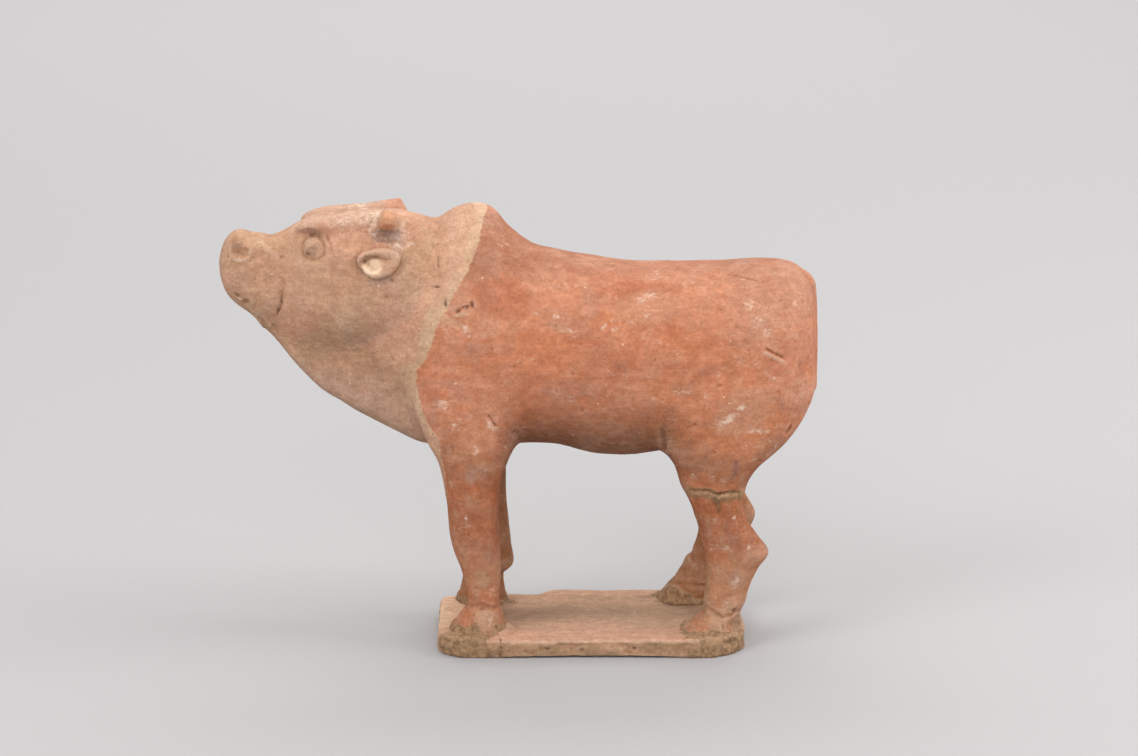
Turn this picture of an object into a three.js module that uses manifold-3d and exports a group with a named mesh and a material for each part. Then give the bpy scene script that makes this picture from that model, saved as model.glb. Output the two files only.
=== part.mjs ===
import * as THREE from 'three';
import Module from 'manifold-3d';

// Millimetres, +Z up. The ox looks towards -X, and its left flank faces -Y.
// The origin is the centre of the plinth's flat underside.

// Overall sizes
const NOSE = -155.0;
const RUMP = 93.5;
const PLINTH_THICKNESS = 7.6;
const JOINT_GAP = 0.3;
const SOLE = PLINTH_THICKNESS + JOINT_GAP;

// Grid that the modelled body is meshed on: cell sizes and the range that it covers
const CELL = { head: 2.5, trunk: 3.8, across: 2.8, leg: 3.4, face: 2.7 };
const HEAD_END = -74;
const FACE_FLOOR = 120;
const RANGE = { x: [-157.6, 98.5], y: 38.4, z: [SOLE - 0.5 * CELL.leg, 189] };
const SNAPS = 4;
const FILL = 0.05;
const FAR = 40;
// Triangles of the ox once the flatter places are thinned out
const TRIANGLES = 8600;
const FLIP = 0.35;

// Rounded ends of the body: radius of the bulge across and up, its greatest depth, and the edge radius
const NOSE_END = { middle: 158.5, across: 16, up: 19, depth: 30, edge: 7 };
const RUMP_END = { middle: 124, across: 62, up: 150, depth: 60, edge: 13 };

// Body and head sections: x, top, bottom, half width, height of the widest level as a share,
// power of the upper half, power of the lower half
const BODY = [
  [-158, 174.8, 142.0, 13.2, 0.55, 2.6, 2.5],
  [-148, 174.8, 140.9, 13.5, 0.55, 2.6, 2.5],
  [-141, 172.1, 138.0, 13.8, 0.5, 2.4, 2.4],
  [-135, 171.0, 135.4, 13.8, 0.48, 2.4, 2.3],
  [-128, 173.3, 131.8, 14.8, 0.46, 2.5, 2.2],
  [-121, 177.2, 129.0, 17.4, 0.46, 2.8, 2.1],
  [-114, 179.8, 127.0, 19.4, 0.46, 3.0, 2.0],
  [-104, 180.6, 125.0, 20.8, 0.45, 3.2, 2.0],
  [-92, 181.8, 121.0, 21.3, 0.47, 2.8, 1.9],
  [-82, 181.8, 110.0, 21.3, 0.52, 2.4, 1.9],
  [-73, 180.4, 98.0, 22.3, 0.5, 2.1, 1.9],
  [-65, 178.6, 90.0, 25.4, 0.46, 2.0, 2.0],
  [-57, 182.8, 86.0, 28.8, 0.44, 1.9, 2.1],
  [-48.5, 185.1, 84.5, 30.9, 0.44, 1.75, 2.2],
  [-41, 182.7, 84.2, 31.7, 0.46, 1.75, 2.3],
  [-34, 174.9, 83.6, 31.9, 0.49, 1.85, 2.35],
  [-26, 168.6, 83.8, 31.7, 0.52, 2.0, 2.35],
  [-14, 164.8, 83.2, 31.9, 0.53, 2.1, 2.3],
  [0, 162.2, 79.6, 32.6, 0.53, 2.15, 2.25],
  [14, 160.4, 78.6, 33.0, 0.53, 2.15, 2.25],
  [30, 160.0, 80.6, 33.0, 0.53, 2.2, 2.25],
  [50, 160.1, 84.6, 33.4, 0.54, 2.25, 2.3],
  [70, 160.8, 89.0, 33.2, 0.54, 2.3, 2.3],
  [82, 160.6, 95.0, 32.0, 0.52, 2.3, 2.3],
  [97, 159.6, 99.0, 30.0, 0.5, 2.3, 2.3],
];

// Dewlap: x, height of its lower edge, half thickness
const DEWLAP = [
  [-136, 134.2, 5.0],
  [-130, 127.0, 6.0],
  [-122, 116.8, 6.5],
  [-114, 108.4, 6.8],
  [-105, 102.8, 7.5],
  [-97, 98.0, 8.5],
  [-88, 93.8, 10.0],
  [-80, 90.2, 12.0],
  [-72, 87.2, 14.0],
  [-60, 86.0, 14.5],
  [-46, 89.0, 11.0],
];
const DEWLAP_RISE = 34;
const DEWLAP_SPREAD = 0.1;

// Legs: height, front, back, distance of the middle from the centre plane, half width
const UPPER_FORELEG = [
  [80.3, -63.8, -34.4, 21.0, 11.4],
  [88.8, -68.2, -31.2, 20.2, 11.8],
  [104, -73.0, -29.0, 17.5, 13.4],
  [128, -73.0, -30.0, 13.0, 14.0],
];
const FORELEG_NEAR = [
  [2.0, -60.4, -34.6, 21.8, 10.6],
  [9.0, -58.0, -35.6, 21.8, 10.4],
  [13.2, -55.6, -36.9, 21.7, 9.6],
  [19.7, -52.0, -38.4, 21.6, 7.8],
  [32.8, -54.4, -37.8, 21.3, 8.4],
  [45.8, -58.4, -38.3, 21.1, 9.6],
  [63.0, -60.1, -38.4, 21.0, 10.6],
  [71.7, -61.7, -37.4, 21.0, 11.0],
  ...UPPER_FORELEG,
];
const FORELEG_FAR = [
  [2.0, -59.6, -35.6, 22.6, 10.2],
  [11.0, -57.0, -36.8, 22.5, 9.6],
  [19.6, -55.2, -37.4, 22.2, 8.2],
  [22.8, -55.4, -34.6, 22.0, 9.0],
  [33.0, -56.4, -34.5, 21.6, 9.4],
  [43.0, -57.1, -35.4, 21.2, 9.8],
  [52.0, -57.6, -36.2, 21.0, 10.2],
  [71.7, -60.8, -36.2, 21.0, 11.0],
  ...UPPER_FORELEG,
];
const UPPER_HINDLEG = [
  [69.5, 37.4, 64.0, 21.0, 11.0],
  [78.1, 34.5, 69.4, 21.0, 11.6],
  [85.8, 30.0, 78.2, 20.4, 12.2],
  [94.8, 28.5, 85.8, 19.0, 13.0],
  [109, 29.0, 91.2, 16.5, 15.5],
  [130, 34.0, 92.5, 12.0, 18.0],
];
const HINDLEG_NEAR = [
  [2.0, 34.0, 61.6, 21.8, 10.8],
  [8.3, 37.8, 59.8, 21.8, 10.4],
  [11.0, 42.0, 58.6, 21.7, 9.8],
  [15.8, 46.8, 62.2, 21.6, 8.2],
  [18.4, 46.8, 63.5, 21.6, 7.8],
  [26.3, 47.7, 65.6, 21.4, 8.0],
  [35.0, 48.0, 69.6, 21.2, 8.6],
  [41.0, 47.3, 73.4, 21.1, 9.2],
  [48.0, 45.5, 68.8, 21.0, 9.6],
  [54.5, 43.8, 64.6, 20.9, 9.9],
  [63.1, 40.6, 62.9, 20.9, 10.4],
  ...UPPER_HINDLEG,
];
const HINDLEG_FAR = [
  [2.0, 27.6, 54.6, 24.2, 10.8],
  [9.0, 29.8, 54.6, 24.0, 10.4],
  [14.0, 34.2, 55.6, 23.8, 10.0],
  [22.0, 40.4, 58.2, 23.2, 9.2],
  [29.0, 45.0, 62.4, 22.6, 8.8],
  [34.8, 46.6, 64.6, 22.0, 8.8],
  [40.0, 46.2, 68.0, 21.6, 9.2],
  [46.2, 44.0, 70.4, 21.2, 9.6],
  [54.2, 42.2, 66.6, 21.0, 10.0],
  [63.1, 39.5, 63.2, 20.9, 10.6],
  ...UPPER_HINDLEG,
];
const LEG_POWER = 2.3;
const LEG_FADE = 26;

// Blend radii between the masses
const BLEND = { dewlap: 8, leg: 8, brow: 3, poll: 4, horn: 2.2, ear: 1.2, hollow: 1, eye: 0.8, tail: 3 };

// Masses of the head, given on the +Y side and mirrored
const BROW = { centre: [-107, 11.4, 177.0], radii: [12.5, 5.2, 4.3], turn: -4 };
const POLL = { from: [-98, 10.6, 177.6], to: [-86, 11.2, 179.4], radius: 4.0 };
const EAR = { centre: [-88, 20.6, 162.0], radii: [9.4, 5.0, 7.2], turn: 6 };
const EAR_HOLLOW = { centre: [-88.4, 26.2, 161.8], radii: [7.0, 4.6, 4.8], turn: 6 };
const EYE = { centre: [-114.2, 16.6, 169.2], radii: [4.4, 3.2, 4.4], turn: 0 };

// Broken horn stubs, one of each shape, and the tail laid down the rump
const HORN_NEAR = { from: [-83.8, -11.2, 176.6], to: [-83.6, -12.4, 181.4], radius: 3.9 };
const HORN_FAR = { from: [-87.0, 11.6, 179.2], to: [-82.0, 12.2, 180.9], radius: 4.2 };
const TAIL = { from: [88.2, 0, 150.5], to: [90.2, 0, 108], radius: 4.3 };

// Plinth: plan outline anticlockwise from the near left, then its edge roundings
const PLINTH_OUTLINE = [
  [-64.6, -25.0],
  [-63.4, -30.5],
  [-58.0, -36.0],
  [-50.5, -38.8],
  [-25.0, -38.9],
  [0.0, -38.4],
  [25.0, -38.6],
  [45.0, -38.9],
  [54.0, -36.6],
  [61.2, -30.0],
  [64.4, -23.0],
  [64.7, -8.0],
  [63.4, 14.0],
  [61.2, 27.0],
  [54.0, 35.6],
  [40.0, 38.4],
  [22.0, 37.8],
  [5.0, 35.2],
  [-12.0, 36.8],
  [-19.0, 35.6],
  [-23.4, 31.2],
  [-38.0, 31.8],
  [-50.0, 30.2],
  [-61.0, 27.4],
  [-65.2, 23.0],
  [-64.9, 0.0],
];
const PLINTH_STEPS = 3;
// Rings of the slab's side and top: inset from the outline, height
const PLINTH_RINGS = [
  [1.2, 0.0],
  [0.3, 1.2],
  [0.0, 3.4],
  [0.2, 5.6],
  [0.9, 7.0],
  [2.4, PLINTH_THICKNESS],
];

// Colours of the finishes
const COLOUR = { ox: '#c27a5a', plinth: '#c39a7c' };
const ROUGHNESS = 0.92;

// Smooth curve through the rows of a table, read at many columns at once
function reader(rows) {
  const n = rows.length;
  const width = rows[0].length;
  const slopes = rows.map(() => new Array(width).fill(0));
  for (let c = 1; c < width; c++) {
    const step = (i) => rows[i + 1][0] - rows[i][0];
    const rate = (i) => (rows[i + 1][c] - rows[i][c]) / step(i);
    for (let i = 1; i < n - 1; i++) {
      const [a, b] = [rate(i - 1), rate(i)];
      const mixed = (a * step(i) + b * step(i - 1)) / (step(i - 1) + step(i));
      slopes[i][c] = a * b <= 0 ? mixed * 0.35 : mixed;
    }
    slopes[0][c] = rate(0);
    slopes[n - 1][c] = rate(n - 2);
  }
  return (at) => {
    const x = Math.min(Math.max(at, rows[0][0]), rows[n - 1][0]);
    let i = 0;
    while (i < n - 2 && x > rows[i + 1][0]) i++;
    const span = rows[i + 1][0] - rows[i][0];
    const t = (x - rows[i][0]) / span;
    const values = [x];
    for (let c = 1; c < width; c++) {
      const [a, b] = [rows[i][c], rows[i + 1][c]];
      const [p, q] = [slopes[i][c] * span, slopes[i + 1][c] * span];
      values.push(a + t * (p + t * (3 * (b - a) - 2 * p - q + t * (2 * (a - b) + p + q))));
    }
    return values;
  };
}

const bodyAt = reader(BODY);
const dewlapAt = reader(DEWLAP);

function join(a, b, k) {
  const h = Math.min(Math.max(0.5 + (0.5 * (b - a)) / k, 0), 1);
  return b + (a - b) * h - k * h * (1 - h);
}

function overlap(a, b, k) {
  return -join(-a, -b, k);
}

// Near-distance to a superellipse
function section(u, v, halfU, halfV, power) {
  const a = Math.abs(u) / halfU;
  const b = Math.abs(v) / halfV;
  const g = Math.pow(Math.pow(a, power) + Math.pow(b, power), 1 / power) + 1e-9;
  const gu = Math.pow(a / g, power - 1) / halfU;
  const gv = Math.pow(b / g, power - 1) / halfV;
  return (g - 1) / (Math.hypot(gu, gv) + 1e-9);
}

// Near-distance to an ellipsoid turned about Y by turn degrees
function ellipsoid(x, y, z, { centre, radii, turn }) {
  const c = Math.cos((turn * Math.PI) / 180);
  const s = Math.sin((turn * Math.PI) / 180);
  const dx = x - centre[0];
  const dz = z - centre[2];
  const p = [dx * c - dz * s, y - centre[1], dx * s + dz * c];
  const k0 = Math.hypot(...p.map((d, i) => d / radii[i])) + 1e-9;
  const k1 = Math.hypot(...p.map((d, i) => d / radii[i] ** 2)) + 1e-9;
  return (k0 * (k0 - 1)) / k1;
}

function rod(x, y, z, { from, to, radius }) {
  const e = to.map((v, i) => v - from[i]);
  const d = [x - from[0], y - from[1], z - from[2]];
  const along = (d[0] * e[0] + d[1] * e[1] + d[2] * e[2]) / (e[0] ** 2 + e[1] ** 2 + e[2] ** 2);
  const t = Math.min(Math.max(along, 0), 1);
  return Math.hypot(d[0] - t * e[0], d[1] - t * e[1], d[2] - t * e[2]) - radius;
}

// Bulged end surface of the body, facing -X or +X
function end(x, y, z, place, facing, { middle, across, up, depth }) {
  const bulge = (y * y) / (2 * across) + (z - middle) ** 2 / (2 * up);
  return facing * (x - place) + Math.min(bulge, depth);
}

function body(x, y, z) {
  const [, top, low, half, waist, above, below] = bodyAt(x);
  const middle = low + waist * (top - low);
  const upper = z > middle;
  const height = upper ? top - middle : middle - low;
  const ring = section(y, z - middle, half, height, upper ? above : below);
  const nose = overlap(ring, end(x, y, z, NOSE, -1, NOSE_END), NOSE_END.edge);
  return overlap(nose, end(x, y, z, RUMP, 1, RUMP_END), RUMP_END.edge);
}

function dewlap(x, y, z) {
  const [, low, thick] = dewlapAt(x);
  const under = Math.min(z - low - thick, 0);
  const rise = Math.max(z - low - thick, 0);
  const slab = Math.hypot(y, under * 0.8) - thick - rise * DEWLAP_SPREAD;
  const ends = Math.max(DEWLAP[0][0] - x, x - DEWLAP[DEWLAP.length - 1][0]);
  return Math.max(slab, z - low - DEWLAP_RISE, ends);
}

function legOf(rows, side) {
  const at = reader(rows);
  const top = rows[rows.length - 1][0];
  const ahead = Math.min(...rows.map((row) => row[1])) - FAR / 2;
  const behind = Math.max(...rows.map((row) => row[2])) + FAR / 2;
  return (x, y, z) => {
    if (x < ahead || x > behind || z > top + FAR / 2) return FAR;
    const [, front, back, middle, half] = at(z);
    const t = Math.min(Math.max((z - (top - LEG_FADE)) / LEG_FADE, 0), 1);
    const fade = Math.sqrt(1 - t * t) + 1e-3;
    const u = x - 0.5 * (front + back);
    const d = section(u, y - side * middle, 0.5 * (back - front) * fade, half * fade, LEG_POWER);
    return z > top ? Math.hypot(Math.max(d, 0), z - top) : d;
  };
}

const LEGS = [
  legOf(FORELEG_NEAR, -1),
  legOf(HINDLEG_NEAR, -1),
  legOf(FORELEG_FAR, 1),
  legOf(HINDLEG_FAR, 1),
];

function head(x, y, z, skull) {
  const w = Math.abs(y);
  let f = join(skull, ellipsoid(x, w, z, BROW), BLEND.brow);
  f = join(f, rod(x, w, z, POLL), BLEND.poll);
  f = join(f, rod(x, y, z, HORN_NEAR), BLEND.horn);
  f = join(f, rod(x, y, z, HORN_FAR), BLEND.horn);
  f = join(f, ellipsoid(x, w, z, EAR), BLEND.ear);
  f = overlap(f, -ellipsoid(x, w, z, EAR_HOLLOW), BLEND.hollow);
  return join(f, ellipsoid(x, w, z, EYE), BLEND.eye);
}

// The whole ox: below zero inside the clay
function ox(x, y, z) {
  let f = join(body(x, y, z), dewlap(x, y, z), BLEND.dewlap);
  for (const leg of LEGS) f = join(f, leg(x, y, z), BLEND.leg);
  if (x < HEAD_END + 8) f = head(x, y, z, f);
  if (x > 80) f = join(f, rod(x, y, z, TAIL), BLEND.tail);
  return Math.max(f, SOLE - z);
}

// Stations from a to b, with one cell size up to a change and another past it
function stations(a, b, change, first, second) {
  const list = [];
  const before = Math.max(Math.round((change - a) / first), 1);
  const after = Math.max(Math.round((b - change) / second), 1);
  for (let i = 0; i < before; i++) list.push(a + ((change - a) * i) / before);
  for (let i = 0; i <= after; i++) list.push(change + ((b - change) * i) / after);
  return list;
}

// Where two opposite corners of a cell's side are inside and the other two aren't, the mesh would
// touch itself along an edge, so the clay is filled in there
function settle(values, size, at) {
  for (let axis = 0; axis < 3; axis++) {
    const [one, two] = [(axis + 1) % 3, (axis + 2) % 3];
    const last = size.map((n, m) => (m === axis ? n : n - 1));
    for (let i = 0; i < last[0]; i++)
      for (let j = 0; j < last[1]; j++)
        for (let k = 0; k < last[2]; k++) {
          const ring = [[0, 0], [1, 0], [1, 1], [0, 1]].map(([p, q]) => {
            const corner = [i, j, k];
            corner[one] += p;
            corner[two] += q;
            return at(...corner);
          });
          const inside = ring.map((index) => values[index] < 0);
          if (inside[0] !== inside[2] || inside[1] !== inside[3] || inside[0] === inside[1]) continue;
          const open = ring.filter((_, m) => !inside[m]);
          const nearer = values[open[0]] < values[open[1]] ? open[0] : open[1];
          values[nearer] = -FILL;
        }
  }
}

// Closed mesh of a field: one vertex in each cell that the surface crosses
function meshOf(field, xs, ys, zs) {
  const [nx, ny, nz] = [xs.length, ys.length, zs.length];
  const at = (i, j, k) => (i * ny + j) * nz + k;
  const values = new Float64Array(nx * ny * nz);
  for (let i = 0; i < nx; i++)
    for (let j = 0; j < ny; j++)
      for (let k = 0; k < nz; k++) values[at(i, j, k)] = field(xs[i], ys[j], zs[k]);
  settle(values, [nx, ny, nz], at);
  const corners = [];
  for (let c = 0; c < 8; c++) corners.push([c & 1, (c >> 1) & 1, (c >> 2) & 1]);
  const edges = [];
  for (let a = 0; a < 8; a++)
    for (const bit of [1, 2, 4]) if (!(a & bit)) edges.push([a, a | bit]);
  const owner = new Int32Array(nx * ny * nz).fill(-1);
  const points = [];
  for (let i = 0; i < nx - 1; i++)
    for (let j = 0; j < ny - 1; j++)
      for (let k = 0; k < nz - 1; k++) {
        const v = corners.map(([a, b, c]) => values[at(i + a, j + b, k + c)]);
        const below = v.filter((f) => f < 0).length;
        if (below === 0 || below === 8) continue;
        const place = [0, 0, 0];
        let crossings = 0;
        for (const [a, b] of edges) {
          if (v[a] < 0 === v[b] < 0) continue;
          const t = v[a] / (v[a] - v[b]);
          const [p, q] = [corners[a], corners[b]];
          place[0] += xs[i + p[0]] + t * (xs[i + q[0]] - xs[i + p[0]]);
          place[1] += ys[j + p[1]] + t * (ys[j + q[1]] - ys[j + p[1]]);
          place[2] += zs[k + p[2]] + t * (zs[k + q[2]] - zs[k + p[2]]);
          crossings++;
        }
        owner[at(i, j, k)] = points.length;
        points.push(place.map((s) => s / crossings));
      }
  const quads = [];
  const around = (i, j, k, axis) => {
    const one = (axis + 1) % 3;
    const two = (axis + 2) % 3;
    return [[0, 0], [1, 0], [1, 1], [0, 1]].map(([p, q]) => {
      const cell = [i, j, k];
      cell[one] -= p;
      cell[two] -= q;
      return owner[at(...cell)];
    });
  };
  for (let i = 0; i < nx - 1; i++)
    for (let j = 0; j < ny - 1; j++)
      for (let k = 0; k < nz - 1; k++)
        for (let axis = 0; axis < 3; axis++) {
          const next = [i, j, k];
          if (next.some((index, m) => m !== axis && index === 0)) continue;
          next[axis]++;
          const inside = values[at(i, j, k)] < 0;
          if (inside === values[at(...next)] < 0) continue;
          const quad = around(i, j, k, axis);
          quads.push(inside ? quad : quad.reverse());
        }
  return { points, quads };
}

// Moves each vertex on to the surface along the field's slope
function snap(points, field, most) {
  const e = 0.05;
  for (const p of points) {
    const f = field(...p);
    const slope = [0, 1, 2].map((m) => {
      const [a, b] = [p.slice(), p.slice()];
      a[m] += e;
      b[m] -= e;
      return (field(...a) - field(...b)) / (2 * e);
    });
    const steep = Math.max(slope[0] ** 2 + slope[1] ** 2 + slope[2] ** 2, 0.25);
    const move = slope.map((s) => (-f * s) / steep);
    const share = Math.min(1, most / (Math.hypot(...move) + 1e-9));
    for (let m = 0; m < 3; m++) p[m] += move[m] * share;
  }
}

// Evens the vertices out over the surface
function relax(points, quads, share) {
  const sum = points.map(() => [0, 0, 0, 0]);
  for (const quad of quads)
    for (let c = 0; c < 4; c++) {
      const s = sum[quad[c]];
      const p = points[quad[(c + 1) % 4]];
      for (let m = 0; m < 3; m++) s[m] += p[m];
      s[3]++;
    }
  points.forEach((p, i) => {
    for (let m = 0; m < 3; m++) p[m] += share * (sum[i][m] / sum[i][3] - p[m]);
  });
}

function distance(a, b) {
  return Math.hypot(a[0] - b[0], a[1] - b[1], a[2] - b[2]);
}

// Two triangles for each quad, split along its shorter diagonal
function split(points, quads) {
  const triangles = [];
  for (const [a, b, c, d] of quads) {
    const short = distance(points[a], points[c]) <= distance(points[b], points[d]);
    triangles.push(...(short ? [a, b, c, a, c, d] : [a, b, d, b, c, d]));
  }
  return triangles;
}

function minus(a, b) {
  return [a[0] - b[0], a[1] - b[1], a[2] - b[2]];
}

function cross(a, b) {
  return [a[1] * b[2] - a[2] * b[1], a[2] * b[0] - a[0] * b[2], a[0] * b[1] - a[1] * b[0]];
}

function dot(a, b) {
  return a[0] * b[0] + a[1] * b[1] + a[2] * b[2];
}

function facing(points, [a, b, c]) {
  return cross(minus(points[b], points[a]), minus(points[c], points[a]));
}

// Joins neighbouring vertices where that moves the surface least, until few enough triangles are left
function thin(points, triangles, most) {
  const faces = [];
  for (let i = 0; i < triangles.length; i += 3) faces.push(triangles.slice(i, i + 3));
  const owned = points.map(() => new Set());
  const planes = points.map(() => new Array(10).fill(0));
  faces.forEach((face, i) => {
    const normal = facing(points, face);
    const area = Math.hypot(...normal);
    const n = [...normal.map((m) => m / area), -dot(normal, points[face[0]]) / area];
    for (const v of face) {
      owned[v].add(i);
      let slot = 0;
      for (let a = 0; a < 4; a++) for (let b = a; b < 4; b++) planes[v][slot++] += area * n[a] * n[b];
    }
  });
  const cost = (q, [x, y, z]) =>
    q[0] * x * x + q[4] * y * y + q[7] * z * z + q[9] +
    2 * (q[1] * x * y + q[2] * x * z + q[3] * x + q[5] * y * z + q[6] * y + q[8] * z);
  const near = (v) => new Set([...owned[v]].flatMap((f) => faces[f]).filter((u) => u !== v));
  const turns = (v, other, place) =>
    [...owned[v]].some((f) => {
      if (faces[f].includes(other)) return false;
      const old = facing(points, faces[f]);
      const kept = points[v];
      points[v] = place;
      const fresh = facing(points, faces[f]);
      points[v] = kept;
      return dot(old, fresh) < FLIP * Math.hypot(...old) * Math.hypot(...fresh) + 1e-6;
    });
  let left = faces.length;
  while (left > most) {
    const edges = [];
    faces.forEach((face) => {
      if (!face) return;
      for (let m = 0; m < 3; m++) {
        const [a, b] = [face[m], face[(m + 1) % 3]];
        if (a > b) continue;
        const q = planes[a].map((value, slot) => value + planes[b][slot]);
        const middle = points[a].map((value, axis) => 0.5 * (value + points[b][axis]));
        const length = distance(points[a], points[b]);
        const choice = [points[a], points[b], middle]
          .map((place) => ({ place, cost: cost(q, place) + 1e-4 * length ** 4 }))
          .sort((one, two) => one.cost - two.cost)[0];
        edges.push({ a, b, q, ...choice });
      }
    });
    edges.sort((one, two) => one.cost - two.cost);
    const touched = new Set();
    let joined = 0;
    for (const { a, b, q, place } of edges.slice(0, Math.ceil(edges.length / 4))) {
      if (left <= most) break;
      if (touched.has(a) || touched.has(b)) continue;
      const [nearA, nearB] = [near(a), near(b)];
      if ([...nearA].filter((v) => nearB.has(v)).length !== 2) continue;
      if (turns(a, b, place) || turns(b, a, place)) continue;
      for (const v of [...nearA, ...nearB]) touched.add(v);
      points[a] = place.slice();
      planes[a] = q;
      for (const f of owned[b])
        if (faces[f].includes(a)) {
          for (const v of faces[f]) if (v !== b) owned[v].delete(f);
          faces[f] = null;
          left--;
        } else {
          faces[f] = faces[f].map((v) => (v === b ? a : v));
          owned[a].add(f);
        }
      owned[b] = new Set();
      joined++;
    }
    if (!joined) break;
  }
  const number = new Map();
  const kept = [];
  const list = faces.filter(Boolean).flat().map((v) => {
    if (!number.has(v)) {
      number.set(v, kept.length);
      kept.push(points[v]);
    }
    return number.get(v);
  });
  return { points: kept, triangles: list };
}

const wasm = await Module();
wasm.setup();

function solidOf(points, triangles) {
  return new wasm.Manifold(
    new wasm.Mesh({
      numProp: 3,
      vertProperties: new Float32Array(points.flat()),
      triVerts: new Uint32Array(triangles),
    }),
  );
}

function geometryOf(solid) {
  const mesh = solid.getMesh();
  const geometry = new THREE.BufferGeometry();
  geometry.setAttribute('position', new THREE.BufferAttribute(new Float32Array(mesh.vertProperties), 3));
  geometry.setIndex(new THREE.BufferAttribute(new Uint32Array(mesh.triVerts), 1));
  geometry.computeVertexNormals();
  return geometry;
}

// The moulded ox, with flat soles just above the plinth
function oxSolid() {
  const xs = stations(RANGE.x[0], RANGE.x[1], HEAD_END, CELL.head, CELL.trunk);
  const ys = stations(-RANGE.y, RANGE.y, 0, CELL.across, CELL.across);
  const zs = stations(RANGE.z[0], RANGE.z[1], FACE_FLOOR, CELL.leg, CELL.face);
  const { points, quads } = meshOf(ox, xs, ys, zs);
  for (let i = 0; i < SNAPS; i++) {
    snap(points, ox, 0.8);
    if (i < SNAPS - 2) relax(points, quads, 0.35);
  }
  const thinned = thin(points, split(points, quads), TRIANGLES);
  snap(thinned.points, ox, 0.4);
  return solidOf(thinned.points, thinned.triangles);
}

// Smooth closed outline through the plinth's corner points
function outline() {
  const n = PLINTH_OUTLINE.length;
  const list = [];
  for (let i = 0; i < n; i++) {
    const [a, b, c, d] = [-1, 0, 1, 2].map((s) => PLINTH_OUTLINE[(i + s + n) % n]);
    for (let s = 0; s < PLINTH_STEPS; s++) {
      const t = s / PLINTH_STEPS;
      const h = [2 * t ** 3 - 3 * t ** 2 + 1, t ** 3 - 2 * t ** 2 + t, 3 * t ** 2 - 2 * t ** 3, t ** 3 - t ** 2];
      list.push([0, 1].map((m) => {
        const [p, q] = [0.4 * (c[m] - a[m]), 0.4 * (d[m] - b[m])];
        return h[0] * b[m] + h[1] * p + h[2] * c[m] + h[3] * q;
      }));
    }
  }
  return list;
}

function plinthSolid() {
  const edge = outline();
  const n = edge.length;
  const inward = edge.map((_, i) => {
    const [a, b] = [edge[(i + n - 1) % n], edge[(i + 1) % n]];
    const length = Math.hypot(b[0] - a[0], b[1] - a[1]);
    return [-(b[1] - a[1]) / length, (b[0] - a[0]) / length];
  });
  const points = [];
  for (const [inset, height] of PLINTH_RINGS)
    edge.forEach((p, i) => points.push([p[0] + inset * inward[i][0], p[1] + inset * inward[i][1], height]));
  const triangles = [];
  for (let r = 0; r < PLINTH_RINGS.length - 1; r++)
    for (let i = 0; i < n; i++) {
      const j = (i + 1) % n;
      const [a, b, c, d] = [r * n + i, r * n + j, (r + 1) * n + j, (r + 1) * n + i];
      triangles.push(a, b, c, a, c, d);
    }
  const last = (PLINTH_RINGS.length - 1) * n;
  const flat = (from) => edge.map((_, i) => new THREE.Vector2(points[from + i][0], points[from + i][1]));
  for (const [a, b, c] of THREE.ShapeUtils.triangulateShape(flat(last), []))
    triangles.push(last + a, last + b, last + c);
  for (const [a, b, c] of THREE.ShapeUtils.triangulateShape(flat(0), [])) triangles.push(a, c, b);
  return solidOf(points, triangles);
}

function piece(name, solid, colour) {
  const material = new THREE.MeshStandardMaterial({ color: colour, roughness: ROUGHNESS, metalness: 0 });
  const mesh = new THREE.Mesh(geometryOf(solid), material);
  mesh.name = name;
  return mesh;
}

const group = new THREE.Group();
group.name = 'pottery_ox';
group.add(piece('ox_figure', oxSolid(), COLOUR.ox));
group.add(piece('plinth', plinthSolid(), COLOUR.plinth));

export default group;
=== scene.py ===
import math

import bpy
import numpy as np
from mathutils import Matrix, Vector


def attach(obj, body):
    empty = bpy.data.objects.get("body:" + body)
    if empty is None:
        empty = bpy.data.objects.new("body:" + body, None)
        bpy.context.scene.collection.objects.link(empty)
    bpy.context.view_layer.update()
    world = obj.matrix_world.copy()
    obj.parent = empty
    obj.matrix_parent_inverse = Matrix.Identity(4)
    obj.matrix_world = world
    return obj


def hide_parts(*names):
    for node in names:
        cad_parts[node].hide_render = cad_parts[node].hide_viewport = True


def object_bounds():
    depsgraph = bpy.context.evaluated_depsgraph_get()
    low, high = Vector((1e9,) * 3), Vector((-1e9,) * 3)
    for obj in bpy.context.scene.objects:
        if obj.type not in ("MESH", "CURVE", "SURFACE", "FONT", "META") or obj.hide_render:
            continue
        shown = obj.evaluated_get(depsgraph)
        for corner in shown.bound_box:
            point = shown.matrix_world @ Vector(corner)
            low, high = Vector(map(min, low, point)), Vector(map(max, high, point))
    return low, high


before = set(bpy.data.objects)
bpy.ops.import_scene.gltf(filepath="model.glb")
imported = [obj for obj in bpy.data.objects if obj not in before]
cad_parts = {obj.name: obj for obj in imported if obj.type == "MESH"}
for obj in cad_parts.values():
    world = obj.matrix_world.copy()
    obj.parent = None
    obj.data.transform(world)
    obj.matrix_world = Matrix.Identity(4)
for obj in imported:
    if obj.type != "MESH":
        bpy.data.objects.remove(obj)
CAD_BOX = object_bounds()

MM = 0.001

# Ox: moulded form, in mm, the muzzle towards -X and its left side towards -Y
NOSE = -155.0
RUMP = 93.5
SOLE = 6.9
LEG_POWER = 2.3
LEG_FADE = 26
DEWLAP_RISE = 34
DEWLAP_SPREAD = 0.1
NOSE_END = {"middle": 158.5, "across": 16, "up": 22, "depth": 30, "edge": 7}
RUMP_END = {"middle": 128, "across": 62, "up": 150, "depth": 60, "edge": 13}

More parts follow.
